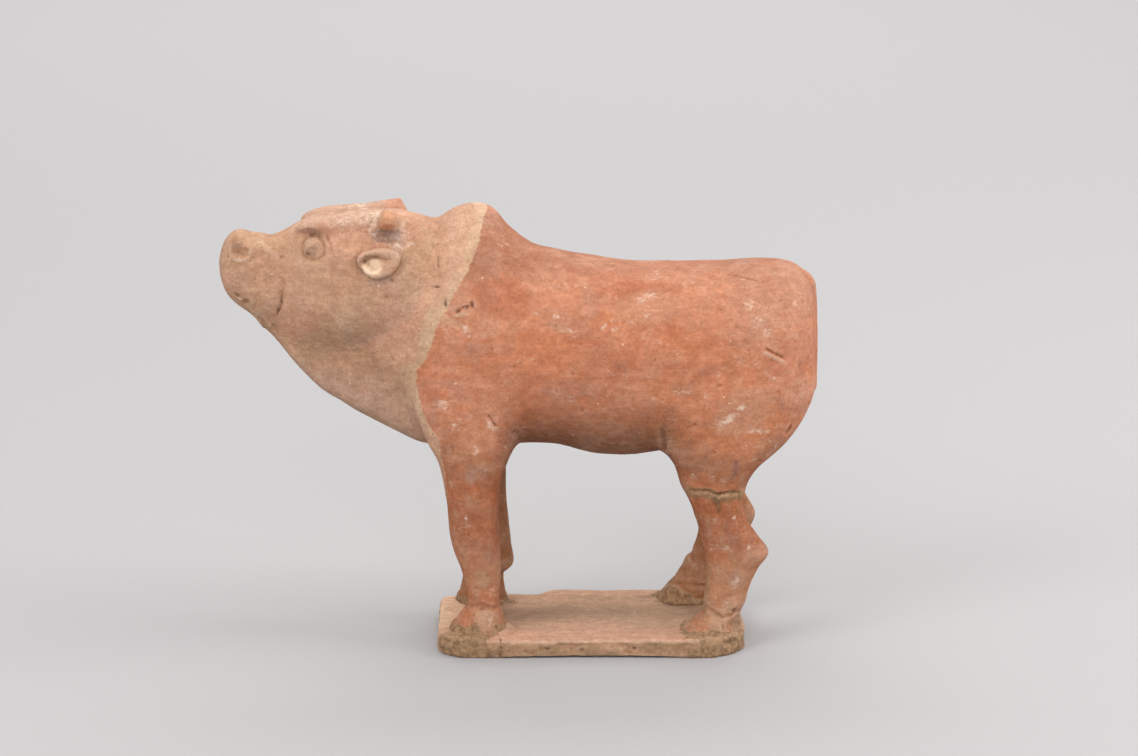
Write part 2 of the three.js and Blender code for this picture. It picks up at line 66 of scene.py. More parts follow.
# One row for each section: x, top, bottom, half width, waist share, upper power, lower power
BODY = [
    (-158, 174.8, 142, 13.2, 0.55, 2.6, 2.5),
    (-148, 174.8, 140.9, 13.5, 0.55, 2.6, 2.5),
    (-141, 172.1, 138, 13.8, 0.5, 2.4, 2.4),
    (-135, 171, 135.4, 13.8, 0.48, 2.4, 2.3),
    (-128, 173.3, 131.8, 14.8, 0.46, 2.5, 2.2),
    (-121, 177.2, 129, 17.4, 0.46, 2.8, 2.1),
    (-114, 179.8, 127, 19.4, 0.46, 3, 2),
    (-104, 180.6, 125, 20.8, 0.45, 3.2, 2),
    (-92, 181.8, 121, 21.3, 0.47, 2.8, 1.9),
    (-82, 181.8, 110, 21.3, 0.52, 2.4, 1.9),
    (-73, 180.4, 98, 22.3, 0.5, 2.1, 1.9),
    (-65, 178.6, 90, 25.4, 0.46, 2, 2),
    (-57, 182.8, 86, 28.8, 0.44, 1.9, 2.1),
    (-48.5, 185.1, 84.5, 30.9, 0.44, 1.75, 2.2),
    (-41, 182.7, 84.2, 31.7, 0.46, 1.75, 2.3),
    (-34, 174.9, 83.6, 31.9, 0.49, 1.85, 2.35),
    (-26, 168.6, 83.8, 31.7, 0.52, 2, 2.35),
    (-14, 164.8, 83.2, 31.9, 0.53, 2.1, 2.3),
    (0, 162.2, 79.6, 32.6, 0.53, 2.15, 2.25),
    (14, 160.4, 78.6, 33, 0.53, 2.15, 2.25),
    (30, 160, 80.6, 33, 0.53, 2.2, 2.25),
    (50, 160.1, 84.6, 33.4, 0.54, 2.25, 2.3),
    (70, 160.8, 89, 33.2, 0.54, 2.3, 2.3),
    (82, 160.6, 95, 32, 0.52, 2.3, 2.3),
    (97, 159.6, 99, 30, 0.5, 2.3, 2.3),
]

# x, lower edge, half thickness
DEWLAP = [
    (-136, 134.2, 5),
    (-130, 127, 6),
    (-122, 116.8, 6.5),
    (-114, 108.4, 6.8),
    (-105, 102.8, 7.5),
    (-97, 98, 8.5),
    (-88, 93.8, 10),
    (-80, 90.2, 12),
    (-72, 87.2, 14),
    (-60, 86, 14.5),
    (-46, 89, 11),
]

# z, front, back, middle across, half width
UPPER_FORELEG = [
    (80.3, -63.8, -34.4, 21, 11.4),
    (88.8, -68.2, -31.2, 20.2, 11.8),
    (104, -73, -29, 17.5, 13.4),
    (128, -73, -30, 13, 14),
]
FORELEG_NEAR = [
    (2, -60.4, -34.6, 21.8, 10.6),
    (9, -58, -35.6, 21.8, 10.4),
    (13.2, -55.6, -36.9, 21.7, 9.6),
    (19.7, -52, -38.4, 21.6, 7.8),
    (32.8, -54.4, -37.8, 21.3, 8.4),
    (45.8, -58.4, -38.3, 21.1, 9.6),
    (63, -60.1, -38.4, 21, 10.6),
    (71.7, -61.7, -37.4, 21, 11),
    *UPPER_FORELEG,
]
FORELEG_FAR = [
    (2, -59.6, -35.6, 22.6, 10.2),
    (11, -57, -36.8, 22.5, 9.6),
    (19.6, -55.2, -37.4, 22.2, 8.2),
    (22.8, -55.4, -34.6, 22, 9),
    (33, -56.4, -34.5, 21.6, 9.4),
    (43, -57.1, -35.4, 21.2, 9.8),
    (52, -57.6, -36.2, 21, 10.2),
    (71.7, -60.8, -36.2, 21, 11),
    *UPPER_FORELEG,
]
UPPER_HINDLEG = [
    (69.5, 37.4, 64, 21, 11),
    (78.1, 34.5, 69.4, 21, 11.6),
    (85.8, 30, 78.2, 20.4, 12.2),
    (94.8, 28.5, 85.8, 19, 13),
    (109, 29, 91.2, 16.5, 15.5),
    (130, 34, 92.5, 12, 18),
]
HINDLEG_NEAR = [
    (2, 34, 61.6, 21.8, 10.8),
    (8.3, 37.8, 59.8, 21.8, 10.4),
    (11, 42, 58.6, 21.7, 9.8),
    (15.8, 46.8, 62.2, 21.6, 8.2),
    (18.4, 46.8, 63.5, 21.6, 7.8),
    (26.3, 47.7, 65.6, 21.4, 8),
    (35, 48, 69.6, 21.2, 8.6),
    (41, 47.3, 73.4, 21.1, 9.2),
    (48, 45.5, 68.8, 21, 9.6),
    (54.5, 43.8, 64.6, 20.9, 9.9),
    (63.1, 40.6, 62.9, 20.9, 10.4),
    *UPPER_HINDLEG,
]
HINDLEG_FAR = [
    (2, 27.6, 54.6, 24.2, 10.8),
    (9, 29.8, 54.6, 24, 10.4),
    (14, 34.2, 55.6, 23.8, 10),
    (22, 39.2, 58.2, 23.2, 9.2),
    (29, 43.4, 62.4, 22.6, 8.8),
    (34.8, 45.6, 64.6, 22, 8.8),
    (40, 46.2, 68, 21.6, 9.2),
    (46.2, 44, 70.4, 21.2, 9.6),
    (54.2, 42.2, 66.6, 21, 10),
    (63.1, 39.5, 63.2, 20.9, 10.6),
    *UPPER_HINDLEG,
]
LEGS = [(FORELEG_NEAR, -1), (HINDLEG_NEAR, -1), (FORELEG_FAR, 1), (HINDLEG_FAR, 1)]

BLEND = {"dewlap": 8, "leg": 8, "brow": 3, "poll": 4, "horn": 1.5, "ear": 1.4, "eye": 1.3, "tail": 4}
BROW = {"centre": (-107.5, 11.4, 177.3), "radii": (14.0, 5.4, 4.4), "turn": -4}
POLL = {"from": (-98, 10.6, 177.6), "to": (-86, 11.2, 179.4), "radius": 4.0}
EYE = {"centre": (-114.2, 16.6, 169.2), "radii": (4.4, 3.2, 4.4), "turn": 0}
HORN_NEAR = {"from": (-84.0, -12.0, 174.5), "to": (-83.2, -16.6, 181.1), "radius": 3.9}
HORN_FAR = {"from": (-92.0, 11.6, 178.8), "to": (-79.0, 12.4, 181.0), "radius": 3.8}
HORN_BREAK = {"place": (-80.0, 184.7), "facing": (0.9, 0.43)}
TAIL = {"from": (88.2, 0, 150.5), "to": (90.2, 0, 108), "radius": 4.3}

# Ear: a leaf seen from the side, hollowed like a cup that fills up towards the back
EAR_LEAF = [
    (-96.2, 165), (-94, 168), (-87.5, 169.5), (-81, 168.8), (-78.4, 166), (-79.8, 162.4),
    (-83.5, 159.2), (-88.5, 157.5), (-92.8, 159.5), (-95.2, 162),
]
EAR_CREST = 24.7
EAR_EDGE = 1.6
EAR_DEPTH = 2.5
EAR_DEEPEST = (-91.0, 166.0)
EAR_FILL = (0.22, 0.12)
EAR_WALL = (0.9, 4.2)

# Plinth: outline seen from above
PLINTH_THICKNESS = 7.6
PLINTH_OUTLINE = [
    (-64.6, -25), (-63.4, -30.5), (-58, -36), (-50.5, -38.8), (-25, -38.9), (0, -38.4), (25, -38.6),
    (45, -38.9), (54, -36.6), (61.2, -30), (64.4, -23), (64.7, -8), (63.4, 14), (61.2, 27), (54, 35.6),
    (40, 38.4), (22, 37.8), (5, 35.2), (-12, 36.8), (-19, 35.6), (-23.4, 31.2), (-38, 31.8), (-50, 30.2),
    (-61, 27.4), (-65.2, 23), (-64.9, 0),
]
PLINTH_STEPS = 4
PLINTH_EDGE = 1.6

# Meshes: cell of the first grid, halved once, triangles kept, and room left inside the solids' box
OX_CELL = 1.25
OX_TRIANGLES = 195000
PLINTH_CELL = 1.2
PLINTH_TRIANGLES = 120000
BOX_ROOM = 0.02


def curve(rows, column, at):
    """Smooth value of one column of rows at the places at, along column 0."""
    s = np.array([r[0] for r in rows], float)
    v = np.array([r[column] for r in rows], float)
    step = np.diff(s)
    slope = np.diff(v) / step
    tangent = np.empty_like(v)
    mixed = (slope[:-1] * step[1:] + slope[1:] * step[:-1]) / (step[:-1] + step[1:])
    tangent[1:-1] = np.where(slope[:-1] * slope[1:] <= 0, 0.35 * mixed, mixed)
    tangent[0] = slope[0]
    tangent[-1] = slope[-1]
    at = np.clip(at, s[0], s[-1])
    i = np.clip(np.searchsorted(s, at) - 1, 0, len(step) - 1)
    t = (at - s[i]) / step[i]
    a = v[i]
    b = v[i + 1]
    p = tangent[i] * step[i]
    q = tangent[i + 1] * step[i]
    return a + t * (p + t * (3 * (b - a) - 2 * p - q + t * (2 * (a - b) + p + q)))


def join(a, b, width):
    h = np.clip(0.5 + 0.5 * (b - a) / width, 0, 1)
    return b + (a - b) * h - width * h * (1 - h)


def overlap(a, b, width):
    return -join(-a, -b, width)


def section(u, v, half_u, half_v, power):
    a = np.abs(u) / half_u
    b = np.abs(v) / half_v
    g = (a ** power + b ** power) ** (1 / power) + 1e-9
    slope = np.sqrt(((a / g) ** (power - 1) / half_u) ** 2 + ((b / g) ** (power - 1) / half_v) ** 2) + 1e-9
    return (g - 1) / slope


def ellipsoid(x, y, z, m):
    a = math.radians(m["turn"])
    u = x - m["centre"][0]
    w = z - m["centre"][2]
    u, w = u * math.cos(a) - w * math.sin(a), u * math.sin(a) + w * math.cos(a)
    v = y - m["centre"][1]
    r = m["radii"]
    k0 = np.sqrt((u / r[0]) ** 2 + (v / r[1]) ** 2 + (w / r[2]) ** 2) + 1e-9
    k1 = np.sqrt((u / r[0] ** 2) ** 2 + (v / r[1] ** 2) ** 2 + (w / r[2] ** 2) ** 2) + 1e-9
    return k0 * (k0 - 1) / k1


def rod(x, y, z, m):
    a = np.array(m["from"], float)
    e = np.array(m["to"], float) - a
    u = x - a[0]
    v = y - a[1]
    w = z - a[2]
    t = np.clip((u * e[0] + v * e[1] + w * e[2]) / (e @ e), 0, 1)
    return np.sqrt((u - t * e[0]) ** 2 + (v - t * e[1]) ** 2 + (w - t * e[2]) ** 2) - m["radius"]


def bulged_end(x, y, z, place, facing, m):
    bulge = y * y / (2 * m["across"]) + (z - m["middle"]) ** 2 / (2 * m["up"])
    return facing * (x - place) + np.minimum(bulge, m["depth"])


def body(x, y, z):
    top, low, half, waist, up, down = (curve(BODY, c, x) for c in range(1, 7))
    middle = low + waist * (top - low)
    upper = z > middle
    reach = np.where(upper, top - middle, middle - low)
    ring = section(y, z - middle, half, reach, np.where(upper, up, down))
    nose = overlap(ring, bulged_end(x, y, z, NOSE, -1, NOSE_END), NOSE_END["edge"])
    return overlap(nose, bulged_end(x, y, z, RUMP, 1, RUMP_END), RUMP_END["edge"])


def dewlap(x, y, z):
    low = curve(DEWLAP, 1, x)
    thick = curve(DEWLAP, 2, x)
    under = np.minimum(z - low - thick, 0)
    rise = np.maximum(z - low - thick, 0)
    slab = np.hypot(y, under * 0.8) - thick - rise * DEWLAP_SPREAD
    ends = np.maximum(DEWLAP[0][0] - x, x - DEWLAP[-1][0])
    return np.maximum(np.maximum(slab, z - low - DEWLAP_RISE), ends)


def leg(x, y, z, rows, side):
    front, back, mid, half = (curve(rows, c, z) for c in range(1, 5))
    top = rows[-1][0]
    t = np.clip((z - (top - LEG_FADE)) / LEG_FADE, 0, 1)
    fade = np.sqrt(1 - t * t) + 1e-3
    d = section(x - 0.5 * (front + back), y - side * mid, 0.5 * (back - front) * fade, half * fade, LEG_POWER)
    return np.where(z > top, np.hypot(np.maximum(d, 0), z - top), d)


def polygon(u, v, corners):
    """Signed distance to a closed outline, negative inside."""
    best = np.full(np.shape(u), 1e9)
    inside = np.zeros(np.shape(u), bool)
    for (au, av), (bu, bv) in zip(corners, corners[1:] + corners[:1]):
        eu = bu - au
        ev = bv - av
        t = np.clip(((u - au) * eu + (v - av) * ev) / (eu * eu + ev * ev), 0, 1)
        best = np.minimum(best, (u - au - t * eu) ** 2 + (v - av - t * ev) ** 2)
        crosses = ((av > v) != (bv > v)) & (u < (v - av) * eu / (ev if ev else 1e-9) + au)
        inside ^= crosses
    return np.sqrt(best) * np.where(inside, -1, 1)


def rounded_outline(corners, steps):
    """The outline with smooth corners, through every point given."""
    n = len(corners)
    out = []
    for i in range(n):
        a, b, c, d = (np.array(corners[(i + k) % n], float) for k in (-1, 0, 1, 2))
        for k in range(steps):
            t = k / steps
            bend = 2 * a - 5 * b + 4 * c - d
            p = 0.5 * (2 * b + (c - a) * t + bend * t * t + (3 * b - a - 3 * c + d) * t ** 3)
            out.append((float(p[0]), float(p[1])))
    return out


EAR_OUTLINE = rounded_outline(EAR_LEAF, 3)


def ear(x, w, z):
    """One ear: its leaf, cut off by the cupped face."""
    leaf = polygon(x, z, EAR_OUTLINE)
    fill = EAR_FILL[0] * np.maximum(x - EAR_DEEPEST[0], 0) + EAR_FILL[1] * np.abs(z - EAR_DEEPEST[1])
    depth = np.maximum(EAR_DEPTH - fill, 0.5)
    face = EAR_CREST - 0.012 * (x + 88) ** 2 - depth * fade(*EAR_WALL, -leaf)
    return overlap(leaf, w - face, EAR_EDGE)


def far_horn(x, y, z):
    """The horn that is broken off to a slanting edge."""
    place = HORN_BREAK["place"]
    facing = HORN_BREAK["facing"]
    beyond = (x - place[0]) * facing[0] + (z - place[1]) * facing[1]
    return np.maximum(rod(x, y, z, HORN_FAR), beyond)


def ox_field(p):
    """Signed distance to the ox's moulded form, in mm."""
    x, y, z = p
    w = np.abs(y)
    f = join(body(x, y, z), dewlap(x, y, z), BLEND["dewlap"])
    for rows, side in LEGS:
        f = join(f, leg(x, y, z, rows, side), BLEND["leg"])
    f = join(f, ellipsoid(x, w, z, BROW), BLEND["brow"])
    f = join(f, rod(x, w, z, POLL), BLEND["poll"])
    f = join(f, rod(x, y, z, HORN_NEAR), BLEND["horn"])
    f = join(f, far_horn(x, y, z), BLEND["horn"])
    head = (x < -70) & (x > -104) & (z > 150) & (z < 176)
    if head.any():
        f[head] = join(f[head], ear(x[head], w[head], z[head]), BLEND["ear"])
    f = join(f, ellipsoid(x, w, z, EYE), BLEND["eye"])
    f = join(f, rod(x, y, z, TAIL), BLEND["tail"])
    return np.maximum(f, SOLE - z)


PLINTH_RING = rounded_outline(PLINTH_OUTLINE, PLINTH_STEPS)


def plinth_field(p):
    x, y, z = p
    middle = PLINTH_THICKNESS / 2
    return overlap(polygon(x, y, PLINTH_RING), np.abs(z - middle) - middle, PLINTH_EDGE)


def nets(field, xs, ys, zs):
    """Quads of the surface where the field is zero, on a grid."""
    grid = np.meshgrid(xs, ys, zs, indexing="ij")
    values = field([g.ravel() for g in grid]).reshape(grid[0].shape)
    inside = values < 0
    n = np.array(values.shape)
    cells = n - 1
    filled = np.zeros(tuple(cells), np.int8)
    for corner in np.ndindex(2, 2, 2):
        filled += inside[tuple(slice(c, c + k) for c, k in zip(corner, cells))]
    place = np.nonzero((filled > 0) & (filled < 8))
    ids = np.full(tuple(cells), -1, np.int64)
    ids[place] = np.arange(len(place[0]))
    total = np.zeros((len(place[0]), 3))
    count = np.zeros(len(place[0]))
    axes = (xs, ys, zs)
    for axis in range(3):
        others = [a for a in range(3) if a != axis]
        for p, q in np.ndindex(2, 2):
            off = [0, 0, 0]
            off[others[0]] = p
            off[others[1]] = q
            a = tuple(c + o for c, o in zip(place, off))
            off[axis] = 1
            b = tuple(c + o for c, o in zip(place, off))
            crosses = (values[a] < 0) != (values[b] < 0)
            t = np.where(crosses, values[a] / np.where(crosses, values[a] - values[b], 1), 0)
            point = np.stack([axes[m][a[m]] + (axes[m][b[m]] - axes[m][a[m]]) * t for m in range(3)], 1)
            total[crosses] += point[crosses]
            count[crosses] += 1
    quads = []
    for axis in range(3):
        first = [slice(None)] * 3
        second = [slice(None)] * 3
        first[axis] = slice(0, n[axis] - 1)
        second[axis] = slice(1, n[axis])
        a = inside[tuple(first)]
        others = [m for m in range(3) if m != axis]
        edges = np.argwhere(a != inside[tuple(second)])
        within = np.ones(len(edges), bool)
        for m in others:
            within &= (edges[:, m] > 0) & (edges[:, m] < n[m] - 1)
        edges = edges[within]
        corners = []
        for p, q in ((1, 1), (0, 1), (0, 0), (1, 0)):
            e = edges.copy()
            e[:, others[0]] -= p
            e[:, others[1]] -= q
            corners.append(ids[tuple(e.T)])
        quad = np.stack(corners, 1)
        ahead = a[tuple(edges.T)] if axis != 1 else ~a[tuple(edges.T)]
        quad[~ahead] = quad[~ahead][:, ::-1]
        quads.append(quad)
    return total / count[:, None], np.concatenate(quads)


def halve(points, quads):
    """Splits every quad into four."""
    n = len(points)
    sides = np.stack([quads, np.roll(quads, -1, 1)], 2).reshape(-1, 2)
    key = np.sort(sides, 1)
    unique, back = np.unique(key[:, 0] * n + key[:, 1], return_inverse=True)
    ends = np.stack([unique // n, unique % n], 1)
    middles = points[ends].mean(1)
    centres = points[quads].mean(1)
    side = (back + n).reshape(-1, 4)
    centre = np.arange(len(quads)) + n + len(unique)
    parts = [np.stack([quads[:, k], side[:, k], centre, side[:, k - 1]], 1) for k in range(4)]
    return np.concatenate([points, middles, centres]), np.concatenate(parts)


def slope_of(field, points, reach=0.04):
    """Value and gradient of the field, from four values round each point."""
    corners = np.array([(1, -1, -1), (-1, -1, 1), (-1, 1, -1), (1, 1, 1)], float)
    value = 0
    slope = 0
    for c in corners:
        f = field(list((points + c * reach).T))
        value = value + f / 4
        slope = slope + f[:, None] * c / (4 * reach)
    return value, slope


def settle(field, points, limit):
    """Moves the points on to the surface, and gives the outward directions."""
    value, slope = slope_of(field, points)
    length = np.maximum((slope ** 2).sum(1), 0.2)
    move = -value[:, None] * slope / length[:, None]
    far = np.linalg.norm(move, axis=1, keepdims=True)
    points = points + move * np.minimum(1, limit / np.maximum(far, 1e-9))
    return points, slope / np.sqrt((slope ** 2).sum(1) + 1e-12)[:, None]


def lattice(i, j, k, seed):
    """A repeatable number from 0 to 1 for each whole place."""
    h = (i * 374761393 + j * 668265263 + k * 2147483647 + seed * 1274126177) & 0xFFFFFFFF
    h = ((h ^ (h >> 13)) * 1274126177) & 0xFFFFFFFF
    h = ((h ^ (h >> 16)) * 2246822519) & 0xFFFFFFFF
    return ((h ^ (h >> 15)) & 0xFFFFFF) / float(0xFFFFFF)


def noise(points, size, seed):
    """Smooth noise from -1 to 1 with lumps of the given size, one number or one for each axis."""
    q = points / np.array(size, float) + 1000.0
    base = np.floor(q).astype(np.int64)
    t = q - base
    t = t * t * t * (t * (6 * t - 15) + 10)
    out = 0
    for c in np.ndindex(2, 2, 2):
        weight = 1
        for m in range(3):
            weight = weight * (t[:, m] if c[m] else 1 - t[:, m])
        out = out + weight * lattice(base[:, 0] + c[0], base[:, 1] + c[1], base[:, 2] + c[2], seed)
    return 2 * out - 1


def fractal(points, size, octaves, seed):
    out = 0
    for k in range(octaves):
        out = out + noise(points, np.array(size, float) / 2 ** k, seed + 17 * k) / 2 ** k
    return out


def fade(low, high, value):
    t = np.clip((value - low) / (high - low), 0, 1)
    return t * t * (3 - 2 * t)


def spot(x, z, mark):
    """1 in a mark's middle, half at its edge and 0 outside: mark is x, z, half length, half width, turn."""
    a = math.radians(mark[4])
    u = ((x - mark[0]) * math.cos(a) + (z - mark[1]) * math.sin(a)) / mark[2]
    v = (-(x - mark[0]) * math.sin(a) + (z - mark[1]) * math.cos(a)) / mark[3]
    return 1 - fade(0.4, 1.6, np.sqrt(u * u + v * v))


def stroke(x, z, line):
    """Distance from a line of points, the way along it from 0 to 1, and the side, above 0 on its left."""
    best = np.full(len(x), 1e9)
    along = np.zeros(len(x))
    side = np.zeros(len(x))
    total = sum(math.dist(a, b) for a, b in zip(line, line[1:]))
    done = 0
    for a, b in zip(line, line[1:]):
        e = (b[0] - a[0], b[1] - a[1])
        size = math.dist(a, b)
        t = np.clip(((x - a[0]) * e[0] + (z - a[1]) * e[1]) / (size * size), 0, 1)
        d = np.hypot(x - a[0] - t * e[0], z - a[1] - t * e[1])
        nearer = d < best
        best = np.where(nearer, d, best)
        along = np.where(nearer, (done + t * size) / total, along)
        side = np.where(nearer, np.sign(e[0] * (z - a[1]) - e[1] * (x - a[0])), side)
        done += size
    return best, along, side


def close_to(x, z, places, reach):
    """Which points lie within reach of the box round the places."""
    px = [p[0] for p in places]
    pz = [p[1] for p in places]
    across = (x > min(px) - reach) & (x < max(px) + reach)
    return np.nonzero(across & (z > min(pz) - reach) & (z < max(pz) + reach))[0]


# Side of the ox that a feature is on
BOTH = "both"
LEFT = "left"
RIGHT = "right"

# Lines that several tables use: x, z of their points
CREASE = [(-126.4, 158.2), (-126.7, 153.8), (-127.5, 149.2), (-128, 145.1), (-128.9, 142.3), (-130.2, 139.6)]
JAW = [
    (-67.5, 162), (-70.4, 154.4), (-76.3, 142.8), (-83, 137), (-89.8, 132.5), (-98, 126.5), (-108, 121.5),
]
LEG_ROLL = [
    (40.8, 68.6), (44, 68.9), (47.2, 69), (49.6, 68.3), (51.8, 67), (53.6, 67.6), (57, 68), (61, 67.2),
]
LEG_CUT = [
    (40.6, 70), (44, 70.2), (47.2, 70.3), (49.6, 69.6), (51.8, 68.5), (53.6, 69), (57, 69.5), (61, 68.8),
]
EYE_CORNER = [(-110.4, 174.6), (-108.4, 173), (-107.2, 171.2), (-106.9, 168.6), (-108.2, 166)]

# Lines in the clay, grooves below 0 and ridges above:
# side, half width, height, shares that fade in and out, places
LINES = [
    (LEFT, 0.26, -0.45, 0.6, 0.05, CREASE),
    (BOTH, 1.8, -0.4, 0.3, 0.15, CREASE),
    (BOTH, 0.5, -0.35, 0.1, 0.4, [(-129.9, 162), (-127.9, 164.1), (-125.3, 165.3)]),
    (BOTH, 0.6, -0.35, 0.2, 0.2, [(-138.5, 140), (-135.5, 136.4), (-133, 132)]),
    (BOTH, 0.6, -0.3, 0.2, 0.3, [(-134.5, 138.6), (-132, 134.6), (-129, 129)]),
    (BOTH, 1, -0.4, 0.3, 0.3, EYE_CORNER),
    (BOTH, 0.9, 0.2, 0.3, 0.3, [(-110, 173), (-108.9, 171), (-108.7, 168.6), (-109.6, 166.4)]),
    (BOTH, 0.45, -0.45, 0.2, 0.5, [(53.5, 157.9), (59.5, 157.4), (66, 156.2), (72, 154.6)]),
    (LEFT, 0.9, 0.3, 0.2, 0.3, [(-117, 179), (-110, 180.6), (-101.5, 181.8), (-96, 182.4)]),
    (LEFT, 0.28, -0.45, 0.1, 0.1, [(-63.3, 166), (-62.9, 163.5), (-63.2, 161)]),
    (LEFT, 0.35, -0.8, 0.1, 0.1, [(-42.6, 102.4), (-41.4, 100.2), (-40.6, 98.6), (-39.2, 97.2)]),
    (LEFT, 0.35, -0.55, 0.1, 0.1, [(-57.2, 89), (-57, 85)]),
    (LEFT, 0.5, -0.6, 0.2, 0.2, [(69.6, 130.6), (74.6, 128), (79.4, 125.2)]),
    (LEFT, 0.7, 0.35, 0.2, 0.2, [(69.4, 129.2), (74.2, 126.6), (79, 123.8)]),
    (LEFT, 1, -0.9, 0.3, 0.1, [(28.6, 97), (29.6, 91), (30.2, 85)]),
    (LEFT, 1, -0.6, 0.3, 0.1, [(-33, 96), (-30, 91.5), (-29, 88)]),
    (LEFT, 0.5, -0.35, 0.2, 0.2, [(38.6, 96.2), (43.4, 98.4)]),
    (LEFT, 0.9, -0.45, 0.2, 0.2, [(-52.5, 18.4), (-49.4, 19.8), (-45.2, 20.2), (-41, 18.6), (-38.5, 17)]),
    (LEFT, 1, -0.5, 0.2, 0.2, [(47, 19), (50.6, 17.2), (54.7, 15), (58, 16), (62.5, 18.6)]),
    (LEFT, 0.8, -0.4, 0.2, 0.2, [(53.8, 14.6), (54.6, 11.4), (54.9, 8)]),
    (LEFT, 1.5, 0.75, 0.1, 0.1, LEG_ROLL),
    (LEFT, 0.9, 0.25, 0.1, 0.5, [(52, 67.2), (52.2, 64), (52.4, 60.5)]),
    (LEFT, 1.5, 0.6, 0.2, 0.4, [(60.4, 66.6), (61.8, 67.8), (61.8, 71)]),
    (LEFT, 0.4, -0.7, 0.1, 0.1, LEG_CUT),
    (RIGHT, 0.8, -0.35, 0.1, 0.1, [(33.5, 15), (40, 16.6), (48, 16), (56, 18)]),
    (RIGHT, 0.8, -0.6, 0.1, 0.1, [(-55, 19.8), (-47, 20.4), (-36, 19.8)]),
]

# Dents below 0 and lumps above: side, height, then x, z, half length, half width, turn
DENTS = [
    (BOTH, -0.25, -146.8, 167, 1.5, 1.3, 0),
    (BOTH, -0.45, -147.6, 170.6, 1.5, 1.1, 50),
    (BOTH, -0.45, -146.7, 148, 1.6, 0.8, -20),
    (BOTH, 0.4, -145.8, 146.4, 1.7, 0.8, -40),
    (BOTH, -0.35, -143, 145.6, 1.8, 1.2, 15),
    (BOTH, 0.25, -140.2, 145.4, 0.9, 1.7, 0),
    (BOTH, -0.45, -115.4, 175.6, 4.4, 1.7, -4),
    (BOTH, 0.35, -109.6, 178, 3.6, 1.9, 0),
    (BOTH, -0.35, -114.6, 168, 2.2, 2.1, 0),
    (BOTH, -0.6, -96.5, 171.5, 6, 2.5, 0),
    (LEFT, -0.4, -116.4, 166.6, 0.7, 0.5, 0),
    (LEFT, -0.35, -86.4, 174.6, 4, 1.8, 4),
    (LEFT, -0.75, -89.6, 181.4, 1.5, 2.3, -25),
    (LEFT, 0.35, -92.2, 180.6, 1, 2, -20),
    (LEFT, 0.3, -77.8, 178, 1, 4, 10),
    (LEFT, -0.8, -63.6, 154, 1.5, 0.45, 12),
    (LEFT, -0.9, -60, 147.3, 0.45, 1.6, 0),
    (LEFT, -1, -54.6, 145, 1.5, 0.7, 40),
    (LEFT, -1, -51.6, 146.6, 1.5, 0.6, 15),
    (LEFT, -0.9, -49, 147.6, 0.9, 1.2, 0),
    (LEFT, 0.3, -53.6, 143.4, 3.4, 0.7, 8),
    (LEFT, -0.6, -81.9, 156.3, 0.5, 0.6, 0),
    (LEFT, -0.9, 81.4, 94.8, 2, 0.7, 60),
    (LEFT, -0.45, -7.8, 119.5, 0.7, 0.5, 0),
    (LEFT, -0.45, 52.3, 114.8, 1.2, 0.7, 0),
    (LEFT, -0.6, -45.5, 18.5, 1.2, 0.6, 0),
    (LEFT, -0.7, 59.5, 18, 1.2, 0.8, 40),
    (LEFT, 0.5, 58, 21, 4, 3, 30),
    (RIGHT, 0.6, -40, 25, 6, 2.6, 0),
    (RIGHT, -0.5, 43, 28, 2.6, 1.2, -60),
    (RIGHT, 0.6, 40, 26, 3, 2.4, 40),
]

# Nostril: a pocket open at the top, with a raised rim round the rest
NOSTRIL = {"x": -144.9, "z": 167.1, "half_x": 4.0, "half_z": 3.8, "power": 2.3, "depth": 1.5, "rim": 0.55}
EYE_DISC = {"x": -114.2, "z": 169.2, "groove": 4.9, "half": 0.7, "depth": 0.45}

# Edge between the cream head and neck and the red body: z, x
BORDER = [
    (80, -60.5), (86.8, -62.1), (93.1, -63.8), (98.9, -67.9), (104.8, -70.6), (110.3, -71.9), (116, -72.4),
    (122.6, -68.8), (134, -64.7), (144.7, -60.1), (152.8, -55.6), (160.4, -51), (166.4, -48.3), (172, -46),
    (176.7, -45.3), (181, -44.5), (186, -43),
]

# Height above the plinth's underside that the sandy soil climbs to on each foot
SOIL_TOP = {"fore_left": 10.4, "hind_left": 10.2, "fore_right": 9.0, "hind_right": 9.5}


def on_side(y, side):
    if side == LEFT:
        return fade(-2, -5, y)
    if side == RIGHT:
        return fade(2, 5, y)
    return fade(2.5, 5, np.abs(y))


def flecks(points, size, share, seed):
    """Scattered blobs, 1 in the middle of each: one cell of the given size in every so many holds one."""
    q = points / size + 500.0
    base = np.floor(q).astype(np.int64)
    pick = [lattice(base[:, 0], base[:, 1], base[:, 2], seed + k) for k in range(8)]
    offset = q - base - 0.38 - 0.24 * np.stack(pick[:3], 1)
    stretch = 0.8 + 1.6 * np.stack(pick[3:6], 1)
    radius = 0.14 + 0.14 * pick[6]
    d = np.sqrt(((offset * stretch) ** 2).sum(1)) / radius
    return np.where(pick[7] < share, 1 - fade(0.45, 1.0, d), 0)


def drawn_features(points):
    """Height of all the lines and dents, with slightly ragged edges."""
    x, y, z = points.T
    x = x + 0.35 * noise(points, 1.7, 41)
    z = z + 0.35 * noise(points, 1.7, 43)
    rough = fractal(points, 2.4, 2, 47)
    out = np.zeros(len(x))
    for side, half, height, start, end, line in LINES:
        i = close_to(x, z, line, 3 * half)
        d, along, _ = stroke(x[i], z[i], line)
        taper = fade(0, start, along) * fade(1, 1 - end, along) * (1 + 0.4 * rough[i])
        out[i] += on_side(y[i], side) * height * taper * np.exp(-(d / half) ** 2)
    for side, height, *mark in DENTS:
        i = close_to(x, z, [mark[:2]], 1.7 * max(mark[2:4]))
        out[i] += on_side(y[i], side) * height * spot(x[i], z[i], mark)
    return out


